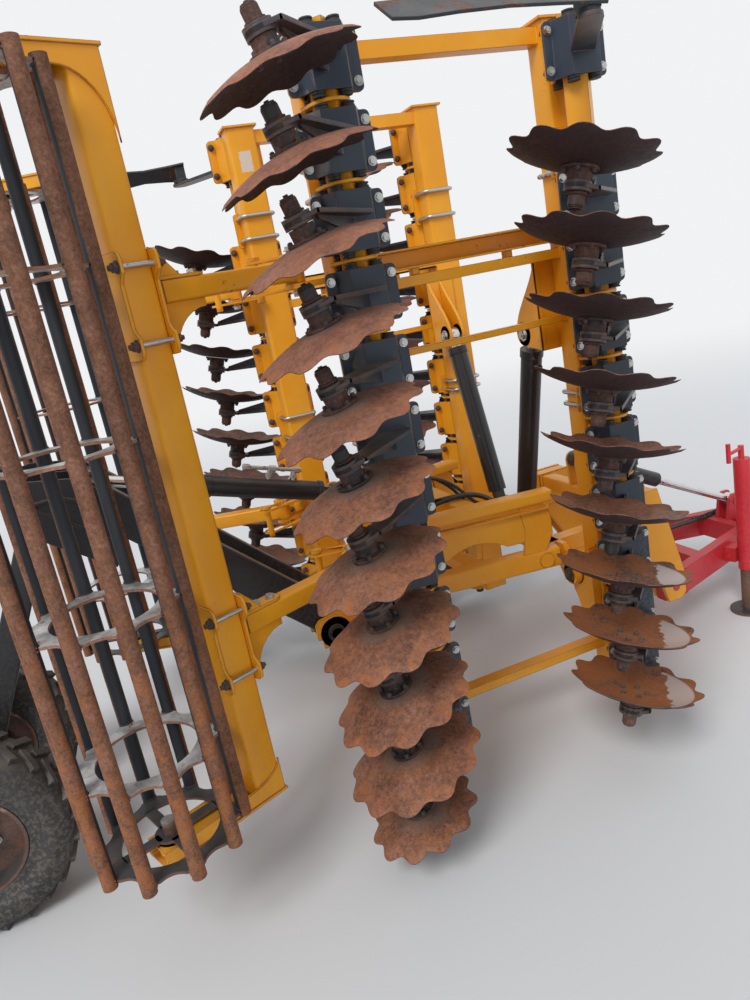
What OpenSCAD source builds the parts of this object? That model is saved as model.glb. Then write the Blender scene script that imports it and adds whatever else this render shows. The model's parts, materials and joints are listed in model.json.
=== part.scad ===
// Folded disc harrow: centre frame, two upright wings with disc rows and cage rollers.
// Millimetres. +Z up, +Y towards the drawbar, +X the machine's right. Ground at z = 0.
// Lengths along Y are written from the bolt line of the rear disc row, then moved by mid_shift.

/* [Disc rows] */
// distance from one disc to the next along a row
row_pitch = 250; // [200:5:320]
// disc places in one row of one wing
row_units = 11; // [6:1:12]
// distance between the two rows, fore and aft
row_gap = 984; // [800:4:1200]
// height of the outermost disc place of the rear row
rear_top = 2789; // [2400:1:3200]
// how much lower the front row sits than the rear row
front_drop = 31; // [0:1:125]
// distance of the rows' tubes from the machine's middle
row_x = 714; // [600:1:900]

/* [Disc] */
// disc diameter
disc_d = 560; // [460:10:660]
// disc plate thickness
disc_t = 6; // [4:0.5:10]
// depth of the dish
disc_dish = 58; // [40:1:90]
// scallops round the edge
notch_count = 11; // [8:1:14]
// radius of one scallop
notch_r = 46; // [30:1:70]
// how deep a scallop cuts in
notch_cut = 27; // [15:1:40]
// angle of a disc to the line of travel
disc_angle = 17; // [8:1:24]
// diameter of the smaller disc at the machine's middle
middle_disc_d = 460; // [400:10:560]

/* [Wing frame] */
// height of the fold pins
hinge_z = 640; // [500:5:900]
// distance of the fold pins from the machine's middle
hinge_x = 500; // [400:5:600]
// column tube, fore and aft
column_w = 140; // [80:5:200]
// column tube, across
column_t = 110; // [60:5:160]
// height of the wing frame's top
wing_top = 2895; // [2600:5:3200]
// height of the wing frame's lower end
wing_low = 200; // [150:5:400]

/* [Roller] */
// cage diameter over the tubes
roller_d = 540; // [400:10:640]
// outside diameter of one cage tube
roller_tube_d = 34; // [25:1:45]
// tubes round the cage
roller_tubes = 10; // [8:1:14]
// lower end of the cage
roller_low = 430; // [300:5:700]
// upper end of the cage
roller_high = 2800; // [2400:5:3000]
// distance from one ring to the next along the cage
ring_pitch = 500; // [350:10:700]
// angle of the roller arms to the line of travel
roller_angle = 22; // [0:1:40]
// distance from the arm pivot to the roller axle
roller_reach = 994; // [800:2:1200]

/* [Undercarriage] */
// tyre diameter
tyre_d = 760; // [600:10:900]
// tyre width
tyre_w = 260; // [180:5:320]
// distance of the wheels from the middle
wheel_x = 380; // [300:5:500]
// distance of the axle behind the rear row
axle_back = 1930; // [1850:5:2200]

/* [Drawbar] */
// distance of the towing eye's tip ahead of the rear row
eye_front = 2950; // [2400:10:3400]
// height of the towing eye
eye_z = 440; // [350:5:600]

/* [Hidden] */
$fn = 48;
seat = 0.3;
tyre_r = tyre_d/2;
mid_shift = -(eye_front - axle_back - tyre_r)/2;
column_x0 = 520;
column_x1 = column_x0 + column_t;
// the housings' middle lies this far behind the bolt line
house_back = 110;
rear_y = -house_back;
front_y = row_gap - house_back;
front_top = rear_top - front_drop;
shell_len = 195;
shell_flat = 56;
shell_wall = 8;
shell_half = 90;
flange_half = 132;
tube_side = 88;
cord_r = 18;
cord_at = (tube_side/2 + seat + cord_r)/sqrt(2);
shell_deep = cord_at + cord_r + seat;
hub_axis_x = 1038;
hub_axis_back = 252;
// along the disc's own axis, from the rim plane towards the hub
dish_r = (disc_d*disc_d/4 + disc_dish*disc_dish)/(2*disc_dish);
flat_r = 72;
flat_z = disc_dish - (dish_r - sqrt(dish_r*dish_r - flat_r*flat_r));
arm_level = 118;
arm_thick = 24;
arm_end_r = 46;
// a disc's rim plane lies this far along the row from its arm
disc_step = 112;

roller_pivot = [560, -300];
roller_dir = [sin(roller_angle), -cos(roller_angle)];
roller_axis = [roller_pivot[0] + roller_reach*roller_dir[0], roller_pivot[1] + roller_reach*roller_dir[1]];
cage_r = roller_d/2 - roller_tube_d/2;

lug_z = 1750;
lug_x = 380;
fold_y = 765;
fold_base = [120, 850];

carriage_pivot = [-360, 640];
knee = [-1200, 1450];
lift_base = [-150, 1190];
lift_pin = [-1180, 1520];
axle = [-axle_back, tyre_r];

drawbar_pivot = [1400, 330];
draw_base = [1180, 1010];
draw_pin = [2200, 500];

// height of place i of a row whose outermost place is at top
function place_z(top, i) = top - i*row_pitch;

// moves a piece from the row's own origin to the machine's
module placed() translate([0, mid_shift, 0]) children();
module left_side() placed() mirror([1, 0, 0]) children();

// box between two corners
module block(a, b) translate(a) cube([b[0] - a[0], b[1] - a[1], b[2] - a[2]]);

// round bar between two points in the plane x = const, given as [y, z]
module bar_yz(x, a, b, r) {
    d = b - a;
    translate([x, a[0], a[1]]) rotate([-atan2(d[0], d[1]), 0, 0]) cylinder(r = r, h = norm(d));
}
// square bar between two [y, z] points, width w across X and depth t
module beam_yz(x, a, b, w, t) {
    d = b - a;
    translate([x, a[0], a[1]]) rotate([-atan2(d[0], d[1]), 0, 0])
        translate([-w/2, -t/2, 0]) cube([w, t, norm(d)]);
}
// round bar between two points in the plane y = const, given as [x, z]
module bar_xz(y, a, b, r) {
    d = b - a;
    translate([a[0], y, a[1]]) rotate([0, atan2(d[0], d[1]), 0]) cylinder(r = r, h = norm(d));
}
// pin along X through [y, z]
module pin_x(x0, x1, p, r) translate([x0, p[0], p[1]]) rotate([0, 90, 0]) cylinder(r = r, h = x1 - x0);
// pin along Y through [x, z]
module pin_y(y0, y1, p, r) translate([p[0], y1, p[1]]) rotate([90, 0, 0]) cylinder(r = r, h = y1 - y0);
// plate of thickness t from x0, outline given as [y, z] points
module plate_x(x0, t, pts) translate([x0, 0, 0]) rotate([90, 0, 90]) linear_extrude(t) polygon(pts);
// plate of thickness t from y0, outline given as [x, z] points
module plate_y(y0, t, pts) translate([0, y0 + t, 0]) rotate([90, 0, 0]) linear_extrude(t) polygon(pts);

// centre line y and outermost height of the rear and the front row
rows = [[rear_y, rear_top], [front_y, front_top]];
// side of its arm that a disc lies on: -1 inboard, 1 outboard; wing is 1 right, -1 left.
// The front row throws soil to the right over both wings and the rear row throws it back.
function lies(wing, row) = row == 0 ? -wing : wing;
// a row whose discs lie outboard starts with the side blade and leaves its second place free
function used(wing, row, i) = lies(wing, row) < 0 || i != 1;
function has_disc(wing, row, i) = lies(wing, row) < 0 || i > 1;
function blade_row(wing) = wing > 0 ? 1 : 0;

// half of a housing: hat section, flanges on the split plane, side = 1 outwards
module half_shell(side) mirror([side < 0 ? 1 : 0, 0, 0])
    rotate([0, 0, 0]) translate([0, 0, -shell_len/2]) linear_extrude(shell_len) polygon([
        [0, -flange_half], [shell_wall, -flange_half], [shell_wall, -shell_half - 6],
        [shell_deep + shell_wall, -shell_flat - 6], [shell_deep + shell_wall, shell_flat + 6],
        [shell_wall, shell_half + 6], [shell_wall, flange_half], [0, flange_half],
        [0, shell_half], [shell_deep, shell_flat], [shell_deep, -shell_flat], [0, -shell_half]]);

// arm plate in the XY plane from the housing's face out to the hub axis
arm_root_x = shell_deep + 2;
arm_end = [hub_axis_x - row_x, -hub_axis_back - arm_level*sin(disc_angle)];
module arm_outline() {
    polygon([[arm_root_x, -46], [arm_root_x, 46], [arm_root_x + 50, 40],
        arm_end + [38, 27], arm_end + [-30, -36], [arm_root_x + 70, -74]]);
}
// arm with an eye that stands square to the disc's axis
module disc_arm() {
    half_shell(1);
    difference() {
        union() {
            translate([0, 0, -arm_thick/2]) linear_extrude(arm_thick) arm_outline();
            on_axis() translate([0, 0, arm_level - arm_thick/2]) cylinder(r = arm_end_r, h = arm_thick);
        }
        on_axis() translate([0, 0, arm_level - 60]) cylinder(r = 25 + seat, h = 120);
        on_axis() translate([0, 0, arm_level + arm_thick/2]) cylinder(r = 42, h = 40);
        on_axis() translate([0, 0, arm_level - arm_thick/2 - 40]) cylinder(r = 44, h = 40);
    }
}
module blade_arm() {
    half_shell(1);
    translate([0, 0, -arm_thick/2]) linear_extrude(arm_thick) {
        arm_outline();
        translate(arm_end) circle(r = arm_end_r);
    }
}
// puts children at a row's place, arm level, turned so +Z of the disc axis points to the hub
module at_place(row, i) translate([row_x, rows[row][0], place_z(rows[row][1], i)]) children();
// turns a piece over for the row whose discs lie outboard
module turned(wing, row) mirror([0, 0, lies(wing, row) > 0 ? 1 : 0]) children();
module on_axis() translate([hub_axis_x - row_x, -hub_axis_back, -disc_step]) rotate([disc_angle, 0, 0]) children();
module disc_plate(d) {
    notch_at = d/2 + notch_r - notch_cut;
    difference() {
        union() {
            difference() {
                intersection() {
                    difference() {
                        translate([0, 0, disc_dish - dish_r]) sphere(r = dish_r, $fn = 96);
                        translate([0, 0, disc_dish - dish_r]) sphere(r = dish_r - disc_t, $fn = 96);
                    }
                    translate([0, 0, -disc_t]) cylinder(r = d/2, h = disc_dish + 2*disc_t);
                }
                translate([0, 0, -disc_t]) cylinder(r = flat_r, h = disc_dish + 3*disc_t);
            }
            translate([0, 0, flat_z - disc_t]) cylinder(r = flat_r + 1, h = disc_t);
        }
        for (k = [0:notch_count - 1]) rotate([0, 0, k*360/notch_count])
            translate([notch_at, 0, -2*disc_t]) cylinder(r = notch_r, h = disc_dish + 4*disc_t);
    }
}
// bearing hub: flange on the disc, body, collar above the arm, cap
module disc_hub() {
    low = flat_z + seat;
    translate([0, 0, low]) cylinder(r = 62, h = 9);
    translate([0, 0, low]) cylinder(r = 40, h = arm_level - arm_thick/2 - 6 - low);
    translate([0, 0, low]) cylinder(r = 25, h = arm_level + 52 - low);
    translate([0, 0, arm_level + 18]) cylinder(r = 33, h = 8);
    translate([0, 0, arm_level + 26]) cylinder(r = 27, h = 34);
}

module row_tubes() {
    for (r = rows) translate([row_x, r[0], wing_low - 10]) rotate([0, 0, 45])
        translate([-tube_side/2, -tube_side/2, 0]) cube([tube_side, tube_side, r[1] + shell_len/2 + 20 - wing_low + 10]);
}
module clamp_shells(wing) for (row = [0, 1]) for (i = [0:row_units - 1]) if (used(wing, row, i))
    at_place(row, i) half_shell(-1);
module disc_arms(wing) for (row = [0, 1]) for (i = [0:row_units - 1]) if (used(wing, row, i))
    at_place(row, i) turned(wing, row) {
        if (has_disc(wing, row, i)) disc_arm();
        else blade_arm();
    }
module rubber_cords(wing) for (row = [0, 1]) for (i = [0:row_units - 1]) if (used(wing, row, i))
    at_place(row, i) for (sx = [-1, 1]) for (sy = [-1, 1])
        translate([sx*cord_at, sy*cord_at, -shell_len/2 - 12]) cylinder(r = cord_r, h = shell_len + 24, $fn = 24);
module disc_hubs(wing) for (row = [0, 1]) for (i = [0:row_units - 1]) if (has_disc(wing, row, i))
    at_place(row, i) turned(wing, row) on_axis() disc_hub();
module discs(wing) for (row = [0, 1]) for (i = [0:row_units - 1]) if (has_disc(wing, row, i))
    at_place(row, i) turned(wing, row) on_axis()
        disc_plate(lies(wing, row) < 0 && i == row_units - 1 ? middle_disc_d : disc_d);
// long plain blade at the outer end of a row, bolted to its arm and trailing behind it
module side_blade(wing) at_place(blade_row(wing), 0) translate([0, 0, arm_thick/2 + seat]) {
    translate([0, 0, 20]) linear_extrude(10) polygon([[arm_end[0] - 90, -190], [arm_end[0] + 60, -180], [arm_end[0] + 100, -420],
        [arm_end[0] + 120, -820], [arm_end[0] + 90, -900], [arm_end[0] + 20, -925], [arm_end[0] - 50, -880],
        [arm_end[0] - 80, -560]]);
    translate(arm_end) cylinder(r = 40, h = 40);
}

// one bracket plate: from the column round the row tube
module row_bracket(y, z) translate([0, 0, z - 6]) linear_extrude(12) difference() {
    polygon([[column_x1 - 2, y - 62], [row_x - 30, y - 92], [row_x + 40, y - 92], [row_x + 74, y - 60],
        [row_x + 74, y + 40], [row_x - 40, y + 84], [column_x1 - 2, y + 62]]);
    translate([row_x, y]) rotate(45) square(tube_side + 2*seat, center = true);
}
module wing_frame(wing) {
    for (y = [rear_y, front_y]) difference() {
        block([column_x0, y - column_w/2, wing_low], [column_x1, y + column_w/2, wing_top]);
        block([column_x0 + 8, y - column_w/2 + 8, wing_low - 1], [column_x1 - 8, y + column_w/2 - 8, wing_top - 10]);
    }
    for (row = [0, 1]) for (i = [0:row_units - 2]) if (used(wing, row, i + 1) || i > 1)
        row_bracket(rows[row][0], place_z(rows[row][1], i) - row_pitch/2);
    y0 = rear_y + column_w/2 - 1;
    y1 = front_y - column_w/2 + 1;
    // top tube, middle channel with the tube under it, thin bar, low flat bar
    block([535, y0, wing_top - 75], [595, y1, wing_top - 15]);
    block([530, y0, 2105], [538, y1, 2180]);
    block([530, y0, 2172], [600, y1, 2180]);
    block([530, y0, 2105], [600, y1, 2113]);
    block([540, y0, 2040], [590, y1, 2080]);
    block([560, y0, 1790], [600, y1, 1815]);
    block([545, y0, 290], [605, y1, 330]);
    // fold knuckles on both columns
    for (y = [rear_y + column_w/2, front_y - column_w/2 - 40]) difference() {
        union() {
            plate_y(y, 40, [[hinge_x - 20, hinge_z + 45], [column_x1, hinge_z + 150], [column_x1, hinge_z - 150],
                [hinge_x - 10, hinge_z - 45]]);
            pin_y(y, y + 40, [hinge_x, hinge_z], 55);
        }
        pin_y(y - 1, y + 41, [hinge_x, hinge_z], 25.05);
    }
    // double lug for the fold cylinder
    for (y = [fold_y - 45, fold_y + 27]) difference() {
        plate_y(y, 18, [[column_x0 + 1, lug_z + 230], [lug_x - 35, lug_z + 40], [lug_x - 35, lug_z - 35],
            [lug_x + 40, lug_z - 50], [column_x0 + 1, lug_z - 30]]);
        pin_y(y - 1, y + 19, [lug_x, lug_z], 16);
    }
    block([column_x0 - 12, fold_y - 45, lug_z - 30], [column_x0 + 2, front_y, lug_z + 230]);
    // roller arm pivots behind the rear column
    for (z = [2170, 1020]) for (dz = [-62, 42]) difference() {
        union() {
            translate([0, 0, z + dz]) linear_extrude(20) polygon([[column_x0, rear_y - column_w/2 + 2],
                [roller_pivot[0] - 50, roller_pivot[1] - 30], [roller_pivot[0] + 50, roller_pivot[1] - 30],
                [column_x1, rear_y - column_w/2 + 2]]);
        }
        translate([roller_pivot[0], roller_pivot[1], z + dz - 1]) cylinder(r = 15.05, h = 22);
    }
}

// roller arms, cross beam, end plates with bearings; drawn unturned along -Y from the pivot
module roller_frame() translate([roller_pivot[0], roller_pivot[1], 0]) rotate([0, 0, roller_angle]) {
    beam = 628;
    for (z = [2170, 1020]) {
        block([-35, -beam + 50, z - 35], [35, 0, z + 35]);
        translate([0, 0, z - 35]) cylinder(r = 35.5, h = 70);
        translate([0, 0, z - 72]) cylinder(r = 15, h = 144);
        block([-70, -beam - 66, z - 130], [70, -beam - 54, z + 130]);
        block([-60, -beam + 54, z - 110], [60, -beam + 66, z + 110]);
    }
    difference() {
        block([-55, -beam - 55, roller_low - 40], [55, -beam + 55, roller_high + 40]);
        block([-47, -beam - 47, roller_low - 41], [47, -beam + 47, roller_high + 41]);
    }
    for (z = [roller_low - 55, roller_high + 40]) {
        translate([0, 0, z]) linear_extrude(15) difference() {
            union() {
                polygon([[-60, -beam + 60], [60, -beam + 60], [75, -roller_reach], [-75, -roller_reach]]);
                translate([0, -roller_reach]) circle(r = 75);
            }
            translate([0, -roller_reach]) circle(r = 25.05);
        }
    }
}
// cage in its own frame: axle at the origin
module at_roller() translate([roller_axis[0], roller_axis[1], 0]) children();
module roller_cage() at_roller() {
    for (k = [0:roller_tubes - 1]) rotate([0, 0, (k + 0.35)*360/roller_tubes]) translate([cage_r, 0, roller_low])
        cylinder(r = roller_tube_d/2, h = roller_high - roller_low, $fn = 24);
}
ring_r = cage_r - roller_tube_d/2 + 6;
module roller_rings() at_roller() {
    ends = [roller_low + 15, roller_high - 25];
    middles = [for (z = [roller_low + 330:ring_pitch:roller_high - 200]) z];
    for (z = concat(ends, middles)) translate([0, 0, z]) linear_extrude(10) difference() {
        circle(r = ring_r);
        if (z > ends[0] && z < ends[1]) circle(r = ring_r - 62);
        for (j = [0:roller_tubes - 1]) rotate((j + 0.35)*360/roller_tubes) translate([cage_r, 0])
            circle(r = roller_tube_d/2 + seat);
    }
    for (z = [roller_low - 60, roller_high - 71]) translate([0, 0, z]) cylinder(r = 25, h = 131);
}

// fold cylinder, barrel on the centre frame, rod up to the wing's lug; angles in the XZ plane
fold_vec = [lug_x - fold_base[0], lug_z - fold_base[1]];
fold_len = norm(fold_vec);
fold_tilt = atan2(fold_vec[0], fold_vec[1]);
module on_fold() translate([fold_base[0], fold_y, fold_base[1]]) rotate([0, fold_tilt, 0]) children();
module cylinder_barrel(len, r, bore) {
    difference() {
        translate([0, 0, 74]) cylinder(r = r, h = len - 74);
        translate([0, 0, 90]) cylinder(r = bore, h = len);
    }
    difference() {
        union() {
            rotate([90, 0, 0]) cylinder(r = 38, h = 52, center = true);
            translate([-24, -24, 0]) cube([48, 48, 76]);
        }
        rotate([90, 0, 0]) cylinder(r = 15.05, h = 56, center = true);
    }
}
module cylinder_rod(from, to, r) {
    translate([0, 0, from]) cylinder(r = r, h = to - from - 30);
    difference() {
        translate([0, 0, to]) rotate([90, 0, 0]) cylinder(r = 36, h = 52, center = true);
        translate([0, 0, to]) rotate([90, 0, 0]) cylinder(r = 16, h = 56, center = true);
    }
}
module fold_barrel() on_fold() cylinder_barrel(fold_len - 75, 47, 24.5);
module fold_rod() on_fold() cylinder_rod(110, fold_len, 24);

// centre frame: side trusses, cross tubes, front neck over the front row, brackets
module centre_frame_half() {
    x0 = 370;
    x1 = 450;
    block([x0, -20, 690], [x1, 700, 770]);
    block([x0, -20, 1050], [x1, 700, 1062]);
    block([x0, -20, 1128], [x1, 700, 1140]);
    block([x0, -20, 1050], [x0 + 12, 700, 1140]);
    plate_x(x0 + 2, 12, [[-20, 765], [-20, 1055], [700, 1055], [700, 765], [560, 765], [520, 860], [420, 900],
        [330, 860], [290, 765]]);
    // fold knuckles and pins
    for (y = [rear_y + column_w/2 + 42, front_y - column_w/2 - 112]) {
        plate_y(y, 30, [[x1 - 2, hinge_z + 110], [hinge_x + 20, hinge_z + 40], [hinge_x + 20, hinge_z - 40],
            [x1 - 40, hinge_z - 40], [x1 - 40, hinge_z + 110]]);
        pin_y(y, y + 30, [hinge_x, hinge_z], 50);
    }
    pin_y(rear_y + column_w/2 + seat, rear_y + column_w/2 + 74, [hinge_x, hinge_z], 25);
    pin_y(front_y - column_w/2 - 114, front_y - column_w/2 - seat, [hinge_x, hinge_z], 25);
    // neck rails over the front row, then down to the drawbar pivot
    block([300, 690, 690], [380, 1330, 770]);
    for (x = [310, 400]) plate_x(x, 20, [[1130, 880], [1330, 880], [1460, 400], [1460, 260], [1340, 260],
        [1300, 420], [1130, 700]]);
    block([300, 1130, 700], [420, 1330, 880]);
}
module centre_frame() {
    for (m = [0, 1]) mirror([m, 0, 0]) difference() {
        centre_frame_half();
        pin_x(300, 430, drawbar_pivot, 20.05);
    }
    for (y = [-20, 300]) block([-371, y, 700], [371, y + 80, 770]);
    block([-371, 700, 692], [371, 800, 770]);
    block([-371, 300, 1055], [371, 380, 1135]);
    block([-301, 1150, 790], [301, 1230, 870]);
    // fold cylinder bases
    for (m = [0, 1]) mirror([m, 0, 0]) for (y = [fold_y - 45, fold_y + 27])
        plate_y(y, 18, [[fold_base[0] - 45, 760], [fold_base[0] - 45, 860], [fold_base[0] - 20, 888],
            [fold_base[0] + 20, 888], [fold_base[0] + 45, 860], [fold_base[0] + 45, 760]]);
    for (m = [0, 1]) mirror([m, 0, 0]) pin_y(fold_y - 48, fold_y + 48, fold_base, 15);
    // undercarriage brackets and lift cylinder base
    for (x = [-275, -165, 145, 255]) difference() {
        plate_x(x, 20, [[-420, 590], [-420, 690], [-20, 770], [60, 770], [60, 700], [-20, 690], [-200, 670],
            [-300, 580]]);
        pin_x(x - 1, x + 21, carriage_pivot, 25.05);
    }
    for (x = [-48, 28]) plate_x(x, 20, [[-20, 700], [-195, 1160], [-195, 1215], [-170, 1235], [-100, 1240],
        [320, 1080], [320, 1050], [60, 700]]);
    pin_x(-50, 50, lift_base, 20);
    // drawbar cylinder base
    for (x = [-48, 28]) plate_x(x, 20, [[1150, 865], [1130, 1010], [1155, 1055], [1195, 1055], [1212, 1010],
        [1212, 865]]);
    pin_x(-50, 50, draw_base, 20);
}

// undercarriage: two rising beams, knee plates, legs down to the axle
module carriage_frame() {
    for (x = [-210, 210]) {
        beam_yz(x, carriage_pivot, knee, 70, 110);
        pin_x(x - 36, x + 36, carriage_pivot, 60);
        beam_yz(x, [-1400, 1470], axle, 62, 100);
        pin_x(x - 62, x + 62, carriage_pivot, 25);
    }
    for (x = [-257, -60, 48, 244]) plate_x(x, 13, [[-1120, 1180], [-1120, 1440], [-1160, 1580], [-1240, 1590],
        [-1480, 1500], [-1480, 1400], [-1330, 1180]]);
    block([-250, -1340, 1195], [250, -1240, 1285]);
    block([-250, -1470, 1405], [250, -1390, 1485]);
    for (x = [-66, 46]) pin_x(x, x + 20, lift_pin, 24);
    pin_x(-wheel_x - 60, wheel_x + 60, axle, 30);
}
module lift_at() {
    d = lift_pin - lift_base;
    translate([0, lift_base[0], lift_base[1]]) rotate([-atan2(d[0], d[1]), 0, 0]) rotate([0, 0, 90]) children();
}
lift_len = norm(lift_pin - lift_base);
module lift_barrel() lift_at() cylinder_barrel_wide(620, 45, 25.5, 20.05);
module lift_rod() lift_at() cylinder_rod_wide(420, lift_len, 25, 20.05);
module cylinder_barrel_wide(len, r, bore, eye) {
    difference() {
        translate([0, 0, 74]) cylinder(r = r, h = len - 74);
        translate([0, 0, 90]) cylinder(r = bore, h = len);
    }
    difference() {
        union() {
            rotate([90, 0, 0]) cylinder(r = 42, h = 54, center = true);
            translate([-24, -24, 0]) cube([48, 48, 76]);
        }
        rotate([90, 0, 0]) cylinder(r = eye, h = 56, center = true);
    }
}
module cylinder_rod_wide(from, to, r, eye) {
    translate([0, 0, from]) cylinder(r = r, h = to - from - 30);
    difference() {
        translate([0, 0, to]) rotate([90, 0, 0]) cylinder(r = 40, h = 54, center = true);
        translate([0, 0, to]) rotate([90, 0, 0]) cylinder(r = eye + 1.5, h = 56, center = true);
    }
}

// wheel about its own axis X, middle at the origin
module wheel_at(side) translate([side*wheel_x, axle[0], axle[1]]) rotate([0, side*90, 0]) children();
module rim() difference() {
    union() {
        difference() {
            cylinder(r = 200, h = tyre_w - 30, center = true);
            translate([0, 0, -tyre_w]) cylinder(r = 188, h = tyre_w);
            translate([0, 0, 14]) cylinder(r = 188, h = tyre_w);
        }
        cylinder(r = 75, h = 110, center = true);
    }
    cylinder(r = 30.05, h = tyre_w + 2, center = true);
}
module tyre() rotate_extrude($fn = 64) {
    w = tyre_w/2;
    polygon([[200 + seat, -w + 18], [200 + seat, w - 18], [225, w - 8], [300, w], [tyre_r - 25, w - 12], [tyre_r, w - 55],
        [tyre_r, -w + 55], [tyre_r - 25, -w + 12], [300, -w], [225, -w + 8]]);
}

leg_x = 365;
leg_y = 1480;
leg_turn = 17.4;
module at_leg() translate([leg_x, leg_y, drawbar_pivot[1]]) rotate([0, 0, leg_turn]) children();
// V drawbar: two legs from the pivots to the nose, cross tube, cylinder bracket, towing eye
module drawbar() {
    for (m = [0, 1]) mirror([m, 0, 0]) {
        block([leg_x - 30, 1345, drawbar_pivot[1] - 70], [leg_x + 30, leg_y + 15, drawbar_pivot[1] + 70]);
        at_leg() translate([-28, 2, -67]) cube([56, 1038, 134]);
        pin_x(308, 422, drawbar_pivot, 20);
    }
    block([-300, 1640, drawbar_pivot[1] - 55], [300, 1720, drawbar_pivot[1] + 55]);
    block([-75, 2330, drawbar_pivot[1] - 80], [75, 2560, drawbar_pivot[1] + 80]);
    difference() {
        union() {
            plate_x(-60, 120, [[2540, 250], [2540, 410], [2640, 400], [2830, eye_z + 20], [2830, eye_z - 20],
                [2680, 340], [2600, 260]]);
            translate([0, eye_front - 75, eye_z - 22]) cylinder(r = 75, h = 44);
        }
        translate([0, eye_front - 75, eye_z - 60]) cylinder(r = 27, h = 120);
    }
    for (x = [-48, 28]) plate_x(x, 20, [[2130, 390], [2155, 520], [2180, 545], [2225, 545], [2250, 510],
        [2420, 400], [2420, 380]]);
    for (x = [-54, 28]) pin_x(x, x + 26, draw_pin, 24);
    block([-160, 2090, drawbar_pivot[1] - 50], [160, 2150, drawbar_pivot[1] + 65]);
}
draw_len = norm(draw_pin - draw_base);
module draw_at() {
    d = draw_pin - draw_base;
    translate([0, draw_base[0], draw_base[1]]) rotate([-atan2(d[0], d[1]), 0, 0]) rotate([0, 0, 90]) children();
}
module draw_barrel() draw_at() cylinder_barrel_wide(560, 40, 22.5, 20.05);
module draw_rod() draw_at() cylinder_rod_wide(380, draw_len, 22, 20.05);

// parking jack beside the right leg, upright, in the leg's own frame
jack_at = [28 + seat + 100, 440];
module jack_sleeve() at_leg() translate([jack_at[0], jack_at[1], -drawbar_pivot[1]]) {
    difference() {
        translate([0, 0, 250]) cylinder(r = 42, h = 620);
        translate([0, 0, 249]) cylinder(r = 35, h = 605);
    }
    block([-100, -45, 290], [-38, 45, 370]);
    translate([0, 0, 869]) cylinder(r = 15, h = 70);
    translate([0, 12, 925]) rotate([90, 0, 0]) cylinder(r = 9, h = 150);
    translate([0, -130, 880]) cylinder(r = 12, h = 100);
}
module jack_leg() at_leg() translate([jack_at[0], jack_at[1], -drawbar_pivot[1]]) {
    translate([0, 0, 12]) cylinder(r = 34, h = 600);
    cylinder(r = 95, h = 12.5);
}

yellow = [0.93, 0.58, 0.06];
graphite = [0.13, 0.15, 0.18];
rust = [0.45, 0.25, 0.18];
steel = [0.75, 0.75, 0.75];
red = [0.75, 0.05, 0.12];
black = [0.05, 0.05, 0.06];

placed() color(yellow) centre_frame();
placed() color(yellow) wing_frame(1);  // wing_frame_right
placed() color(yellow) row_tubes();  // row_tubes_right
placed() color(yellow) clamp_shells(1);  // clamp_shells_right
placed() color(graphite) disc_arms(1);  // disc_arms_right
placed() color(black) rubber_cords(1);  // rubber_cords_right
placed() color(black) disc_hubs(1);  // disc_hubs_right
placed() color(rust) discs(1);  // discs_right
placed() color(graphite) side_blade(1);  // side_blade_right
left_side() color(yellow) wing_frame(-1);  // wing_frame_left
left_side() color(yellow) row_tubes();  // row_tubes_left
left_side() color(yellow) clamp_shells(-1);  // clamp_shells_left
left_side() color(graphite) disc_arms(-1);  // disc_arms_left
left_side() color(black) rubber_cords(-1);  // rubber_cords_left
left_side() color(black) disc_hubs(-1);  // disc_hubs_left
left_side() color(rust) discs(-1);  // discs_left
left_side() color(graphite) side_blade(-1);  // side_blade_left
placed() color(yellow) roller_frame();  // roller_frame_right
placed() color(rust) roller_cage();  // roller_cage_right
placed() color(steel) roller_rings();  // roller_rings_right
left_side() color(yellow) roller_frame();  // roller_frame_left
left_side() color(rust) roller_cage();  // roller_cage_left
left_side() color(steel) roller_rings();  // roller_rings_left
placed() color(black) fold_barrel();  // fold_barrel_right
placed() color(steel) fold_rod();  // fold_rod_right
left_side() color(black) fold_barrel();  // fold_barrel_left
left_side() color(steel) fold_rod();  // fold_rod_left
placed() color(black) carriage_frame();
placed() color(black) lift_barrel();
placed() color(steel) lift_rod();
placed() wheel_at(1) color(steel) rim();  // rim_right
placed() wheel_at(1) color(black) tyre();  // tyre_right
placed() wheel_at(-1) color(steel) rim();  // rim_left
placed() wheel_at(-1) color(black) tyre();  // tyre_left
placed() color(red) drawbar();
placed() color(black) draw_barrel();
placed() color(steel) draw_rod();
placed() color(red) jack_sleeve();
placed() color(steel) jack_leg();
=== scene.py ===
import json
import math
import random

import bmesh
import bpy
from mathutils import Matrix, Vector
from mathutils.geometry import tessellate_polygon


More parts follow.
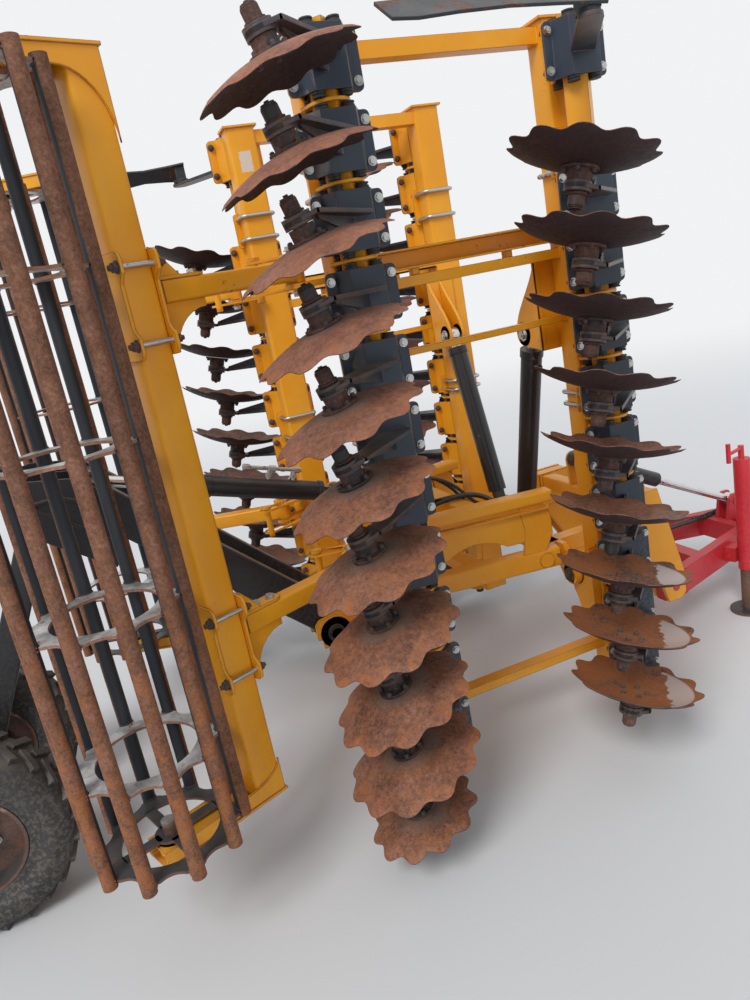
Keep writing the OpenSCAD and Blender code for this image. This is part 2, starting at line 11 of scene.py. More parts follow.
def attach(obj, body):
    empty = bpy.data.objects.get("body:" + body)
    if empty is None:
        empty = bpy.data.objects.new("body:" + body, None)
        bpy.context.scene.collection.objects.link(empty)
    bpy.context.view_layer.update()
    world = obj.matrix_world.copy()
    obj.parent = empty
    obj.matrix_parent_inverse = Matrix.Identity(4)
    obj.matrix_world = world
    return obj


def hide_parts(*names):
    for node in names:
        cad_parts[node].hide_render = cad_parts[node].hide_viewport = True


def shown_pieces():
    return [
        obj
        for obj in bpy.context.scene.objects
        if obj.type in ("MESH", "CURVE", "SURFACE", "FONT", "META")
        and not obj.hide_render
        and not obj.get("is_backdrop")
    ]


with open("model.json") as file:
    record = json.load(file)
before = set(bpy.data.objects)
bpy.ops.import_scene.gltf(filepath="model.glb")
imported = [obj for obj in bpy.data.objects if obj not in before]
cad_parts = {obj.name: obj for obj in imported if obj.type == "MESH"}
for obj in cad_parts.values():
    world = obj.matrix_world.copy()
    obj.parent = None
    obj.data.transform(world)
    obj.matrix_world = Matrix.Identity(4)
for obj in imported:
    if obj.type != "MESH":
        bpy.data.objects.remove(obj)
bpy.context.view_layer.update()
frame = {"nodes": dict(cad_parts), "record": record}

# sizes shared by several pieces, the same as in the solid model
machine = {
    "midShift": -0.320,       # the rear row's bolt line
    "rowX": 0.714,
    "rowPitch": 0.250,
    "rowUnits": 11,
    "rowY": (-0.110, 0.874),  # rear, front
    "rowTop": (2.789, 2.758),
    "hingeX": 0.500,
    "hingeZ": 0.640,
    "columnX": (0.520, 0.630),
    "columnWide": 0.140,
    "discAngle": math.radians(17),
    "hubOut": 0.324,          # from the row's tube to the hub
    "hubBack": 0.252,
    "discStep": 0.112,        # from the arm down to the disc's rim plane
    "rollerPivot": (0.560, -0.300),
    "rollerTurn": math.radians(22),
    "rollerReach": 0.994,
    "rollerBeam": 0.628,
    "armHeights": (2.170, 1.020),
    "axle": (-1.930, 0.380),
    "wheelX": 0.380,
}
sides = ((1, "right"), (-1, "left"))


# the same value in millimetres, for the pieces that are drawn in them
def inMm(name):
    value = machine[name]
    return tuple(1000*v for v in value) if isinstance(value, tuple) else 1000*value


# the cage's axis on the right, in metres from the rear row's bolt line
def rollerCentre():
    turn, (px, py) = machine["rollerTurn"], machine["rollerPivot"]
    return px + machine["rollerReach"]*math.sin(turn), py - machine["rollerReach"]*math.cos(turn)


# a place given from the rear row's bolt line, on the right (1) or mirrored to the left (-1)
def at(x, y, z, side=1):
    return Vector((side*x, y + machine["midShift"], z))


# camera and light
cameraView = {
    "place": (3.2815, -1.4058, 2.0664),
    "azimuth": 71.234,        # of the line of sight, from +Y towards -X
    "elevation": -15.605,
    "roll": 10.854,
    "lens": 27.04,
}


def makeCamera(view):
    az, el, roll = (math.radians(view[k]) for k in ("azimuth", "elevation", "roll"))
    ahead = Vector((-math.sin(az)*math.cos(el), math.cos(az)*math.cos(el), math.sin(el)))
    right = ahead.cross(Vector((0, 0, 1))).normalized()
    down = ahead.cross(right)
    imageRight = math.cos(roll)*right + math.sin(roll)*down
    imageDown = -math.sin(roll)*right + math.cos(roll)*down
    data = bpy.data.cameras.new("photoView")
    data.sensor_width = 36
    data.lens = view["lens"]
    data.clip_start = 0.05
    data.clip_end = 200
    cam = bpy.data.objects.new("photoView", data)
    bpy.context.scene.collection.objects.link(cam)
    turn = Matrix((imageRight, -imageDown, -ahead)).transposed().to_4x4()
    cam.matrix_world = Matrix.Translation(view["place"]) @ turn
    bpy.context.scene.camera = cam


# short calls that add a node and wire it
class Wires:
    def __init__(self, tree):
        self.tree = tree

    def put(self, socket, value):
        if isinstance(value, bpy.types.NodeSocket):
            self.tree.links.new(value, socket)
        elif value is not None:
            socket.default_value = value

    # inputs are given in the node's order, values by their names with _ for a space
    def add(self, kind, settings=None, inputs=(), **values):
        n = self.tree.nodes.new(kind)
        for k, v in (settings or {}).items():
            setattr(n, k, v)
        for s, v in zip(n.inputs, inputs):
            self.put(s, v)
        for label, v in values.items():
            self.put(n.inputs[label.replace("_", " ")], v)
        return n

    def math(self, op, *values, clamp=False):
        return self.add("ShaderNodeMath", {"operation": op, "use_clamp": clamp}, values).outputs[0]

    def times(self, *values):
        total = values[0]
        for v in values[1:]:
            total = self.math("MULTIPLY", total, v)
        return total

    def plus(self, a, b):
        return self.math("ADD", a, b)

    def minus(self, a, b):
        return self.math("SUBTRACT", a, b)

    def size(self, a):
        return self.math("ABSOLUTE", a)

    def most(self, a, b):
        return self.math("MAXIMUM", a, b, clamp=True)

    def vector(self, op, a, b=None, scale=None):
        n = self.add("ShaderNodeVectorMath", {"operation": op}, (a, b))
        if scale is not None:
            self.put(n.inputs["Scale"], scale)
        return n.outputs["Value" if op in ("LENGTH", "DOT_PRODUCT") else "Vector"]

    def parts(self, value):
        return self.add("ShaderNodeSeparateXYZ", inputs=(value,)).outputs[:3]

    def joined(self, x, y, z):
        return self.add("ShaderNodeCombineXYZ", inputs=(x, y, z)).outputs[0]

    def stretched(self, value, scale):
        return self.add("ShaderNodeMapping", Vector=value, Scale=scale).outputs[0]

    def noise(self, at, scale, detail=4.0, rough=0.55, warp=0.0):
        n = self.add("ShaderNodeTexNoise", Vector=at, Scale=scale, Detail=detail, Roughness=rough,
                     Distortion=warp)
        return n.outputs["Fac"]

    def cells(self, at, scale):
        return self.add("ShaderNodeTexVoronoi", Vector=at, Scale=scale).outputs["Distance"]

    def step(self, value, low, high, toLow=0.0, toHigh=1.0):
        n = self.add("ShaderNodeMapRange", {"interpolation_type": "SMOOTHSTEP"},
                     (value, low, high, toLow, toHigh))
        return n.outputs["Result"]

    def near(self, value, middle, half, soft):
        return self.step(self.size(self.minus(value, middle)), half + soft, half - soft)

    # a share that sways about nothing: the noise less its middle, times an amount
    def sway(self, noise, amount):
        return self.times(self.minus(noise, 0.5), amount)

    def blend(self, fac, a, b):
        n = self.add("ShaderNodeMix", {"data_type": "RGBA"}, (fac,))
        for s, v in ((n.inputs[6], a), (n.inputs[7], b)):
            self.put(s, (*v, 1) if isinstance(v, tuple) and len(v) == 3 else v)
        return n.outputs[2]

    def mixValue(self, fac, a, b):
        return self.add("ShaderNodeMix", {"data_type": "FLOAT"}, (fac, None, a, b)).outputs[0]

    def ramp(self, fac, stops):
        n = self.add("ShaderNodeValToRGB", inputs=(fac,))
        band = n.color_ramp
        while len(band.elements) < len(stops):
            band.elements.new(0.5)
        for e, (spot, colour) in zip(band.elements, stops):
            e.position = spot
            e.color = (*colour, 1)
        return n.outputs["Color"]

    def bump(self, height, strength, distance, normal=None):
        n = self.add("ShaderNodeBump", Height=height, Strength=strength, Distance=distance, Normal=normal)
        return n.outputs["Normal"]

    def group(self, tree, **values):
        return self.add("ShaderNodeGroup", {"node_tree": tree}, **values).outputs


# a tree's inputs from their labels and values, where None stands for a vector
def addInputs(tree, inputs):
    kinds = {int: "NodeSocketInt", float: "NodeSocketFloat", type(None): "NodeSocketVector"}
    for label, value in inputs.items():
        s = tree.interface.new_socket(name=label, in_out="INPUT", socket_type=kinds[type(value)])
        if value is not None:
            s.default_value = value


studio = {
    "backdrop": (0.88, 0.89, 0.90),
    "sky": (0.93, 0.96, 1.0),
    "skyLight": 0.70,
    "keyLight": 1.9,
    "keySoftness": 24,         # degrees
    "keyTurn": (38, 22, 20),
    "floor": (0.62, 0.625, 0.63),
    "floorRadius": 30.0,
    "floorFade": (4.5, 15.0),  # where the floor turns into the backdrop's colour
}


def clearedTree(block):
    block.use_nodes = True
    block.node_tree.nodes.clear()
    return Wires(block.node_tree)


def makeStudio(light):
    world = bpy.data.worlds.new("studioSky")
    bpy.context.scene.world = world
    w = clearedTree(world)
    backdrop = (*light["backdrop"], 1)
    rays = w.add("ShaderNodeLightPath").outputs
    seen = w.add("ShaderNodeBackground", Color=backdrop).outputs[0]
    lit = w.add("ShaderNodeBackground", Color=(*light["sky"], 1), Strength=light["skyLight"]).outputs[0]
    either = rays["Is Camera Ray"]
    for label in ("Is Glossy Ray", "Is Transmission Ray"):
        either = w.math("MAXIMUM", either, rays[label])
    sky = w.add("ShaderNodeMixShader", inputs=(either, lit, seen)).outputs[0]
    w.add("ShaderNodeOutputWorld", Surface=sky)
    key = bpy.data.lights.new("keyLight", "SUN")
    key.energy = light["keyLight"]
    key.angle = math.radians(light["keySoftness"])
    keyObject = bpy.data.objects.new("keyLight", key)
    keyObject.rotation_euler = [math.radians(a) for a in light["keyTurn"]]
    bpy.context.scene.collection.objects.link(keyObject)
    # round floor whose rim runs out into the backdrop's colour
    mesh = bpy.data.meshes.new("studioFloor")
    bm = bmesh.new()
    bmesh.ops.create_circle(bm, cap_ends=True, radius=light["floorRadius"], segments=96)
    bm.to_mesh(mesh)
    bm.free()
    floor = bpy.data.objects.new("studioFloor", mesh)
    bpy.context.scene.collection.objects.link(floor)
    mat = bpy.data.materials.new("paleFloor")
    w = clearedTree(mat)
    matte = w.add("ShaderNodeBsdfDiffuse", Color=(*light["floor"], 1)).outputs[0]
    rim = w.add("ShaderNodeEmission", Color=backdrop).outputs[0]
    away = w.vector("LENGTH", w.add("ShaderNodeTexCoord").outputs["Object"])
    both = w.add("ShaderNodeMixShader", inputs=(w.step(away, *light["floorFade"]), matte, rim)).outputs[0]
    w.add("ShaderNodeOutputMaterial", Surface=both)
    mesh.materials.append(mat)
    floor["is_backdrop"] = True
    bpy.context.scene.view_settings.view_transform = "Standard"


makeCamera(cameraView)
makeStudio(studio)
print("camera and studio stand")


# a shader group's wires, inputs and outputs
def newGroup(name, inputs, outputs):
    tree = bpy.data.node_groups.new(name, "ShaderNodeTree")
    addInputs(tree, inputs)
    for label, kind in outputs.items():
        tree.interface.new_socket(name=label, in_out="OUTPUT", socket_type="NodeSocket" + kind)
    return Wires(tree), tree.nodes.new("NodeGroupInput").outputs, tree.nodes.new("NodeGroupOutput").inputs


# mottled rust: colour, height and roughness from a place
def makeRustGroup():
    w, gin, gout = newGroup("rustField", {"place": None, "scale": 1.0, "bright": 0.5, "orange": 0.3},
                            {"colour": "Color", "height": "Float", "roughness": "Float"})
    spot = w.vector("SCALE", gin["place"], scale=gin["scale"])
    broad = w.noise(spot, 7.0, 5.0, 0.6, 0.6)
    middle = w.noise(spot, 62.0, 6.0, 0.72, 0.2)
    grit = w.noise(spot, 320.0, 3.0, 0.65)
    pits = w.step(w.cells(spot, 210.0), 0.05, 0.28)
    mixed = w.plus(w.times(broad, 0.42), w.times(middle, 0.58))
    mixed = w.plus(mixed, w.times(w.minus(gin["bright"], 0.5), 0.5))
    colour = w.ramp(mixed, [(0.34, (0.030, 0.013, 0.010)), (0.43, (0.085, 0.034, 0.022)),
                            (0.50, (0.155, 0.064, 0.040)), (0.58, (0.240, 0.108, 0.070)),
                            (0.68, (0.360, 0.195, 0.145))])
    speck = w.step(w.noise(spot, 130.0, 4.0, 0.7), 0.50, 0.60)
    flare = w.step(w.noise(spot, 9.0, 5.0, 0.6, 0.8), 0.44, 0.60)
    flare = w.times(w.plus(w.times(speck, 0.65), w.times(flare, 0.55)), gin["orange"])
    colour = w.blend(flare, colour, (0.420, 0.130, 0.026))
    colour = w.blend(w.times(w.minus(1.0, pits), 0.60), colour, (0.035, 0.014, 0.011))
    colour = w.blend(w.times(w.step(grit, 0.54, 0.70), 0.45), colour, (0.48, 0.25, 0.14))
    w.put(gout["colour"], colour)
    high = w.plus(w.times(middle, 0.6), w.times(grit, 0.25))
    w.put(gout["height"], w.plus(high, w.times(pits, 0.35)))
    w.put(gout["roughness"], w.step(middle, 0.3, 0.7, 0.92, 0.70))
    return w.tree


# worn edges: a hard and a soft share of how far the rounded normal leaves the true one, and that normal
def makeWearGroup():
    w, gin, gout = newGroup("edgeWear", {"place": None, "width": 0.004, "amount": 0.5},
                            {"mask": "Float", "soft": "Float", "rounded": "Vector"})
    rounded = w.add("ShaderNodeBevel", {"samples": 4}, Radius=gin["width"]).outputs["Normal"]
    dot = w.vector("DOT_PRODUCT", rounded, w.add("ShaderNodeNewGeometry").outputs["Normal"])
    edge = w.step(dot, 0.995, 0.80)
    rag = w.noise(gin["place"], 38.0, 5.0, 0.65)
    limit = w.minus(1.0, gin["amount"])
    w.put(gout["mask"], w.step(w.times(edge, w.plus(rag, 0.35)), limit, w.plus(limit, 0.08)))
    w.put(gout["soft"], w.times(edge, rag))
    w.put(gout["rounded"], rounded)
    return w.tree


# dust on what faces up, splash low down, streaks that run down and broad blotches
def makeDirtGroup():
    w, gin, gout = newGroup("fieldDirt", {"place": None, "facing": None, "dust": 0.5, "splash": 0.5},
                            {"dust": "Float", "streak": "Float", "blotch": "Float"})
    place = gin["place"]
    up = w.step(w.parts(gin["facing"])[2], 0.25, 0.95)
    low = w.step(w.parts(place)[2], 1.3, 0.1)
    cloud = w.noise(place, 6.0, 6.0, 0.62, 0.4)
    fine = w.noise(place, 70.0, 4.0, 0.6)
    patch = w.step(cloud, 0.38, 0.68)
    onTop = w.times(up, gin["dust"], w.plus(patch, 0.35))
    onLow = w.times(low, gin["splash"], w.step(fine, 0.45, 0.62))
    w.put(gout["dust"], w.most(onTop, onLow))
    run = w.noise(w.stretched(place, (14, 14, 0.9)), 1.0, 4.0, 0.55, 0.3)
    w.put(gout["streak"], w.times(w.step(run, 0.58, 0.78), w.minus(1.0, up), patch))
    w.put(gout["blotch"], patch)
    return w.tree


rustGroup = makeRustGroup()
wearGroup = makeWearGroup()
dirtGroup = makeDirtGroup()


# the wires of a material, with a surface's place and facing
class Coat(Wires):
    def __init__(self, name):
        self.made = bpy.data.materials.new(name)
        self.made.use_nodes = True
        super().__init__(self.made.node_tree)
        coord = self.add("ShaderNodeTexCoord").outputs
        self.place, self.facing = coord["Object"], coord["Normal"]

    def finish(self, colour, roughness, normal, metallic=None):
        sockets = self.tree.nodes["Principled BSDF"].inputs
        for label, value in (("Base Color", colour), ("Roughness", roughness), ("Normal", normal),
                             ("Metallic", metallic)):
            self.put(sockets[label], value)
        return self.made


# satin paint with faded clouds, chips, worn edges, dust and a few streaks
def paintMaterial(name, colour, faded, wear, dust, rusty=0.4, rough=0.38, chips=0.2, bare=None, tint=None):
    w = Coat(name)
    place, facing = w.place, w.facing
    rust = w.group(rustGroup, place=place, scale=1.0, bright=0.45, orange=0.25)
    worn = w.group(wearGroup, place=place, width=0.006, amount=wear)
    dirt = w.group(dirtGroup, place=place, facing=facing, dust=dust, splash=dust)
    base = w.blend(w.step(w.noise(place, 2.6, 5.0, 0.6), 0.35, 0.7), colour, faded)
    if tint:
        base = tint(w, place, facing, base)
    peel = w.noise(place, 240.0, 2.0, 0.5)
    base = w.blend(w.times(dirt["streak"], 0.30*rusty), base, (0.10, 0.045, 0.018))
    field = w.times(w.noise(place, 60.0, 5.0, 0.7), w.plus(w.noise(place, 4.0, 3.0), 0.35))
    chip = w.step(field, 0.66 - 0.12*chips, 0.69 - 0.12*chips)
    gone = w.most(worn["mask"], chip)
    under = rust["colour"] if bare is None else w.blend(0.6, rust["colour"], bare)
    base = w.blend(gone, base, under)
    dusty = w.times(dirt["dust"], 0.65)
    base = w.blend(dusty, base, (0.27, 0.225, 0.17))
    gloss = w.mixValue(gone, w.step(peel, 0.3, 0.7, rough - 0.05, rough + 0.08), rust["roughness"])
    height = w.plus(w.times(peel, 0.10), w.times(gone, -0.5))
    height = w.plus(height, w.times(rust["height"], gone, 0.5))
    return w.finish(base, w.mixValue(dusty, gloss, 0.85), w.bump(height, 0.35, 0.0010, worn["rounded"]))


# pale blank patch high on the far rear column
def blankPatch(w, place, facing, base):
    x, y, z = w.parts(place)
    rag = w.sway(w.noise(place, 70.0, 4.0, 0.7), 0.016)
    inY = w.near(w.plus(y, rag), -0.430, 0.030, 0.002)
    inZ = w.near(w.plus(z, rag), 2.742, 0.046, 0.002)
    inX = w.near(x, -0.520, 0.004, 0.001)
    return w.blend(w.times(inX, inY, inZ, 0.85), base, (0.66, 0.62, 0.55))


# the arms are worn brown at their edges and tips, the housings keep their paint; a painted pale grey sheen
# lies in streaks on the sloped faces that face fore and aft
def armWear(w, place, facing, base):
    away = w.size(w.parts(place)[0])
    out = w.step(away, 0.787, 0.805)
    tip = w.step(away, 0.93, 1.02)
    cloud = w.step(w.noise(place, 16.0, 5.0, 0.6, 0.5), 0.40, 0.66)
    base = w.blend(w.times(out, cloud, 0.55), base, (0.085, 0.062, 0.052))
    base = w.blend(w.times(tip, w.plus(w.times(cloud, 0.6), 0.35)), base, (0.120, 0.072, 0.055))
    # painted sheen: sloped faces turned fore and aft get streaks of pale grey
    slope = w.size(w.parts(facing)[1])
    slope = w.times(w.near(slope, 0.82, 0.12, 0.03), w.minus(1.0, out))
    paintedSheen = w.step(w.noise(w.stretched(place, (9, 9, 4.5)), 1.0, 4.0, 0.6, 0.8), 0.50, 0.60)
    return w.blend(w.times(slope, paintedSheen, 0.42), base, (0.33, 0.31, 0.28))


discLook = {
    "sunlit": (0.42, 0.180, 0.130),    # on the upper discs
    "dust": (0.27, 0.20, 0.155),       # round the hub
    # painted shade: the near-black colour of every disc face that points down
    "under": (0.015, 0.008, 0.014),
    "hollow": (0.30, 0.090, 0.014),    # where a hollow side faces up, on the lower discs
    "patch": (0.50, 0.41, 0.38),       # smooth and pale, on the lowest front discs
    "spots": (0.62, 0.52, 0.46),
}


# disc plates: what faces up is pink brown, orange near the rim and dusty round the hub; what faces down is
# painted near black as shade
def discMaterial(name):
    w = Coat(name)
    place, facing = w.place, w.facing
    x, y, z = w.parts(place)
    front = w.step(y, -0.195, -0.185)
    rearY, frontY = (rowY - machine["hubBack"] + machine["midShift"] for rowY in machine["rowY"])
    acrossY = w.math("DIVIDE", w.minus(y, w.mixValue(front, rearY, frontY)), math.cos(machine["discAngle"]))
    acrossX = w.minus(w.size(x), machine["rowX"] + machine["hubOut"])
    radius = w.math("SQRT", w.plus(w.times(acrossX, acrossX), w.times(acrossY, acrossY)))
    onRight = w.step(x, -0.01, 0.01)
    # the rear row's hubs lie above their discs on the right and below on the left, the front row's opposite
    upright = w.minus(1.0, w.size(w.minus(onRight, w.minus(1.0, front))))
    plate = w.plus(w.math("FLOOR", w.times(z, 4.0)), w.times(front, 31.0))
    shifted = w.vector("ADD", place, w.joined(plate, w.times(plate, 0.37), onRight))
    grain = w.group(rustGroup, place=shifted, scale=1.0, bright=0.53, orange=0.35)
    hot = w.group(rustGroup, place=shifted, scale=1.3, bright=0.52, orange=1.1)
    cloud = w.noise(shifted, 7.0, 5.0, 0.62, 0.7)
    rimness = w.step(w.plus(radius, w.sway(cloud, 0.22)), 0.17, 0.27)
    high = w.step(z, 1.1, 2.2)
    convex = w.blend(w.times(rimness, w.mixValue(high, 0.8, 0.30)), grain["colour"], hot["colour"])
    convex = w.blend(w.times(high, 0.20), convex, discLook["sunlit"])
    dusty = w.step(w.plus(radius, w.sway(cloud, 0.10)), 0.135, 0.075)
    convex = w.blend(w.times(dusty, 0.55), convex, discLook["dust"])
    low = w.step(z, 1.15, 0.85)
    # painted shade: the rust turned near black for the disc faces that point down
    paintedUnderShade = w.blend(0.90, grain["colour"], discLook["under"])
    hollow = w.blend(w.times(w.step(cloud, 0.38, 0.56), 0.75), grain["colour"], discLook["hollow"])
    outward = w.plus(w.times(acrossX, 0.62), w.times(acrossY, 0.78))
    patch = w.plus(outward, w.sway(w.noise(shifted, 22.0, 4.0, 0.6), 0.10))
    left = w.times(w.step(patch, 0.122, 0.129), w.step(radius, 0.226, 0.216), low, front)
    hollow = w.blend(w.times(left, 0.9), hollow, discLook["patch"])
    up = w.step(w.parts(facing)[2], -0.05, 0.05)
    hollow = w.blend(low, grain["colour"], hollow)
    colour = w.blend(upright, hollow, convex)
    # painted shade: faces that point down take the near-black colour
    colour = w.blend(up, paintedUnderShade, colour)
    dots = w.step(w.cells(shifted, 26.0), 0.060, 0.045)
    dots = w.times(dots, w.step(w.noise(shifted, 14.0, 3.0), 0.60, 0.68))
    colour = w.blend(w.times(dots, 0.7), colour, discLook["spots"])
    gloss = w.mixValue(left, w.times(grain["roughness"], 0.86), 0.38)
    return w.finish(colour, gloss, w.bump(grain["height"], 0.55, 0.0012))


# cage tubes: rust where they roll on the ground, dark paint on the side towards the axle
def tubeMaterial(name):
    w = Coat(name)
    place, facing = w.place, w.facing
    x, y, z = w.parts(place)
    axleX, axleY = rollerCentre()
    axleY += machine["midShift"]
    handed = w.minus(w.times(w.step(x, -0.01, 0.01), 2.0), 1.0)
    out = w.vector("NORMALIZE", w.joined(w.minus(x, w.times(handed, axleX)), w.minus(y, axleY), 0.0))
    rolls = w.vector("DOT_PRODUCT", out, facing)
    cloud = w.noise(w.stretched(place, (9, 9, 2.2)), 1.0, 5.0, 0.6, 0.4)
    rusted = w.step(w.plus(rolls, w.sway(cloud, 0.9)), -0.42, -0.26)
    warm = w.step(z, 1.7, 0.6)
    rust = w.group(rustGroup, place=place, scale=1.4, bright=0.50, orange=w.plus(w.times(warm, 0.8), 0.15))
    dull = w.blend(w.step(cloud, 0.4, 0.7), (0.014, 0.018, 0.024), (0.034, 0.038, 0.044))
    brown = w.blend(0.30, rust["colour"], (0.150, 0.072, 0.034))
    return w.finish(w.blend(rusted, dull, brown), w.mixValue(rusted, 0.52, rust["roughness"]),
                    w.bump(w.times(rust["height"], w.plus(rusted, 0.2)), 0.5, 0.0012))


# ring plates: worn steel given a pale grey colour that is partly its own tone and partly painted reflection,
# brown along their edges and where they are welded, dark deep inside
def ringMaterial(name):
    w = Coat(name)
    place, facing = w.place, w.facing
    rust = w.group(rustGroup, place=place, scale=1.2, bright=0.55, orange=0.7)
    side = w.step(w.size(w.parts(facing)[2]), 0.75, 0.45)
    cloud = w.noise(place, 11.0, 5.0, 0.65, 0.4)
    # partly painted reflection: the pale end of this tone stands in for light off the steel
    tone = w.ramp(cloud, [(0.30, (0.20, 0.19, 0.185)), (0.46, (0.46, 0.445, 0.43)),
                          (0.60, (0.72, 0.71, 0.70))])
    spots = w.most(w.times(side, 0.9), w.step(w.noise(place, 18.0, 6.0, 0.7), 0.60, 0.68))
    below = w.step(w.parts(place)[2], 0.52, 0.48)
    tone = w.blend(w.times(below, 0.93), tone, (0.020, 0.017, 0.016))
    spots = w.times(spots, w.minus(1.0, w.times(below, 0.6)))
    return w.finish(w.blend(spots, tone, rust["colour"]), w.mixValue(spots, 0.38, 0.85),
                    w.bump(rust["height"], 0.25, 0.0008), w.mixValue(w.most(spots, below), 0.35, 0.0))


# iron of the hubs, leaves and old bolts: dark purple brown with some old paint and polished rims
def ironMaterial(name, scale, bright, paint, worn, amount):
    w = Coat(name)
    place, facing = w.place, w.facing
    rust = w.group(rustGroup, place=place, scale=scale, bright=bright, orange=0.1)
    edge = w.group(wearGroup, place=place, width=0.004, amount=0.5)
    left = w.step(w.noise(place, 7.0, 5.0, 0.65), 0.50 - amount, 0.58 - amount)
    base = w.blend(0.42, rust["colour"], (0.052, 0.040, 0.043))
    base = w.blend(left, base, paint)
    base = w.blend(w.times(edge["soft"], 0.8), base, worn)
    dust = w.group(dirtGroup, place=place, facing=facing, dust=0.4, splash=0.4)
    base = w.blend(w.times(dust["dust"], 0.6), base, (0.24, 0.20, 0.16))
    return w.finish(base, w.mixValue(left, rust["roughness"], 0.5),
                    w.bump(rust["height"], 0.5, 0.0012, edge["rounded"]))


def steelMaterial(name, colour, rough, rusty):
    w = Coat(name)
    place = w.place
    rust = w.group(rustGroup, place=place, scale=1.2, bright=0.55, orange=0.3)
    spots = w.step(w.times(w.noise(place, 30.0, 6.0, 0.7), w.plus(w.noise(place, 3.0, 3.0), 0.4)),
                   0.62 - 0.2*rusty, 0.70 - 0.2*rusty)
    tone = w.blend(w.noise(place, 9.0, 5.0, 0.6), tuple(c*0.72 for c in colour), colour)
    gloss = w.step(w.noise(place, 60.0, 3.0), 0.3, 0.7, rough - 0.08, rough + 0.12)
    return w.finish(w.blend(spots, tone, rust["colour"]), w.mixValue(spots, gloss, 0.85),
                    w.bump(w.plus(w.noise(place, 110.0, 4.0), spots), 0.2, 0.0006),
                    w.mixValue(spots, 1.0, 0.0))


def rubberMaterial(name, colour=(0.018, 0.018, 0.019), dust=0.4, rough=0.62):
    w = Coat(name)
    place, facing = w.place, w.facing
    dirt = w.group(dirtGroup, place=place, facing=facing, dust=dust, splash=dust)
    grain = w.noise(place, 190.0, 3.0, 0.6)
    tone = w.blend(w.noise(place, 14.0, 5.0, 0.6), colour, tuple(c*2.1 for c in colour))
    base = w.blend(w.times(dirt["dust"], 0.8), tone, (0.20, 0.16, 0.12))
    base = w.blend(w.times(dirt["blotch"], 0.24*dust), base, (0.16, 0.14, 0.12))
    return w.finish(base, w.step(grain, 0.3, 0.7, rough - 0.1, rough + 0.18), w.bump(grain, 0.3, 0.0006))


yellowPaint = paintMaterial("harrowYellow", (0.80, 0.322, 0.006), (0.86, 0.380, 0.014), wear=0.36,
                            dust=0.22, rusty=0.3, rough=0.36, chips=0.22, tint=blankPatch)
graphitePaint = paintMaterial("graphitePaint", (0.017, 0.029, 0.048), (0.028, 0.043, 0.068), wear=0.5,
                              dust=0.5, rusty=0.5, rough=0.42, chips=0.35, bare=(0.16, 0.12, 0.10),
                              tint=armWear)
blackPaint = paintMaterial("blackPaint", (0.010, 0.010, 0.012), (0.020, 0.020, 0.023), wear=0.30,
                           dust=0.35, rough=0.32)
redPaint = paintMaterial("drawbarRed", (0.52, 0.010, 0.022), (0.60, 0.024, 0.040), wear=0.35,
                         dust=0.25, rusty=0.3)
discRust = discMaterial("discRust")
tubeRust = tubeMaterial("tubeRust")
hubIron = ironMaterial("hubIron", 1.4, 0.40, (0.016, 0.015, 0.017), (0.20, 0.14, 0.12), 0.0)
ringSteel = ringMaterial("ringSteel")
chromeRod = steelMaterial("chromeRod", (0.80, 0.80, 0.80), 0.14, 0.05)
zincBolt = steelMaterial("zincBolt", (0.60, 0.60, 0.58), 0.36, 0.30)
bladeIron = ironMaterial("bladeIron", 1.0, 0.50, (0.020, 0.030, 0.040), (0.22, 0.15, 0.12), 0.10)
rustyBolt = ironMaterial("rustyBolt", 2.0, 0.46, (0.06, 0.045, 0.045), (0.26, 0.17, 0.13), 0.05)
cordRubber = rubberMaterial("cordRubber")
hoseRubber = rubberMaterial("hoseRubber", (0.010, 0.010, 0.011), 0.25, 0.42)
tyreRubber = rubberMaterial("tyreRubber", (0.020, 0.020, 0.021), dust=0.6)

slotMaterials = {
    "frame_paint": yellowPaint,
    "graphite_paint": graphitePaint,
    "black_paint": blackPaint,
    "red_paint": redPaint,
    "disc_rust": discRust,
    "tube_rust": tubeRust,
    "hub_iron": hubIron,
    "bare_steel": ringSteel,
    "chrome_rod": chromeRod,
    "rubber": cordRubber,
    "tyre_rubber": tyreRubber,
}
for part in frame["record"]["subparts"]:
    node = frame["nodes"][part["node"]]
    for slot in node.material_slots:
        slot.material = slotMaterials[part["material_slot"]]


# short calls that add a geometry node and wire it
class Grower(Wires):
    def __init__(self, name, inputs):
        tree = bpy.data.node_groups.new(name, "GeometryNodeTree")
        tree.interface.new_socket(name="Geometry", in_out="INPUT", socket_type="NodeSocketGeometry")
        addInputs(tree, inputs)
        tree.interface.new_socket(name="Material", in_out="INPUT", socket_type="NodeSocketMaterial")
        tree.interface.new_socket(name="Geometry", in_out="OUTPUT", socket_type="NodeSocketGeometry")
        super().__init__(tree)
        self.gin = tree.nodes.new("NodeGroupInput").outputs
        self.gout = tree.nodes.new("NodeGroupOutput").inputs

    def cylinder(self, sides, radius, depth, low):
        n = self.add("GeometryNodeMeshCylinder", {"fill_type": "NGON"}, Vertices=sides, Radius=radius,
                     Depth=depth)
        middle = self.joined(0.0, 0.0, self.plus(self.times(depth, 0.5), low))
        return self.add("GeometryNodeTransform", Geometry=n.outputs["Mesh"], Translation=middle).outputs[0]

    def along(self, line, ring):
        n = self.add("GeometryNodeCurveToMesh", Curve=line.outputs[0], Profile_Curve=ring.outputs[0],
                     Fill_Caps=True)
        return n.outputs[0]

    def join(self, pieces):
        n = self.add("GeometryNodeJoinGeometry")
        for p in pieces:
            self.tree.links.new(p, n.inputs[0])
        return n.outputs[0]

    def attribute(self, name, kind):
        n = self.add("GeometryNodeInputNamedAttribute", {"data_type": kind}, Name=name)
        return n.outputs["Attribute"]

    def finish(self, geometry):
        real = self.add("GeometryNodeRealizeInstances", Geometry=geometry)
        painted = self.add("GeometryNodeSetMaterial", Geometry=real.outputs[0], Material=self.gin["Material"])
        self.tree.links.new(painted.outputs[0], self.gout[0])
        return self.tree


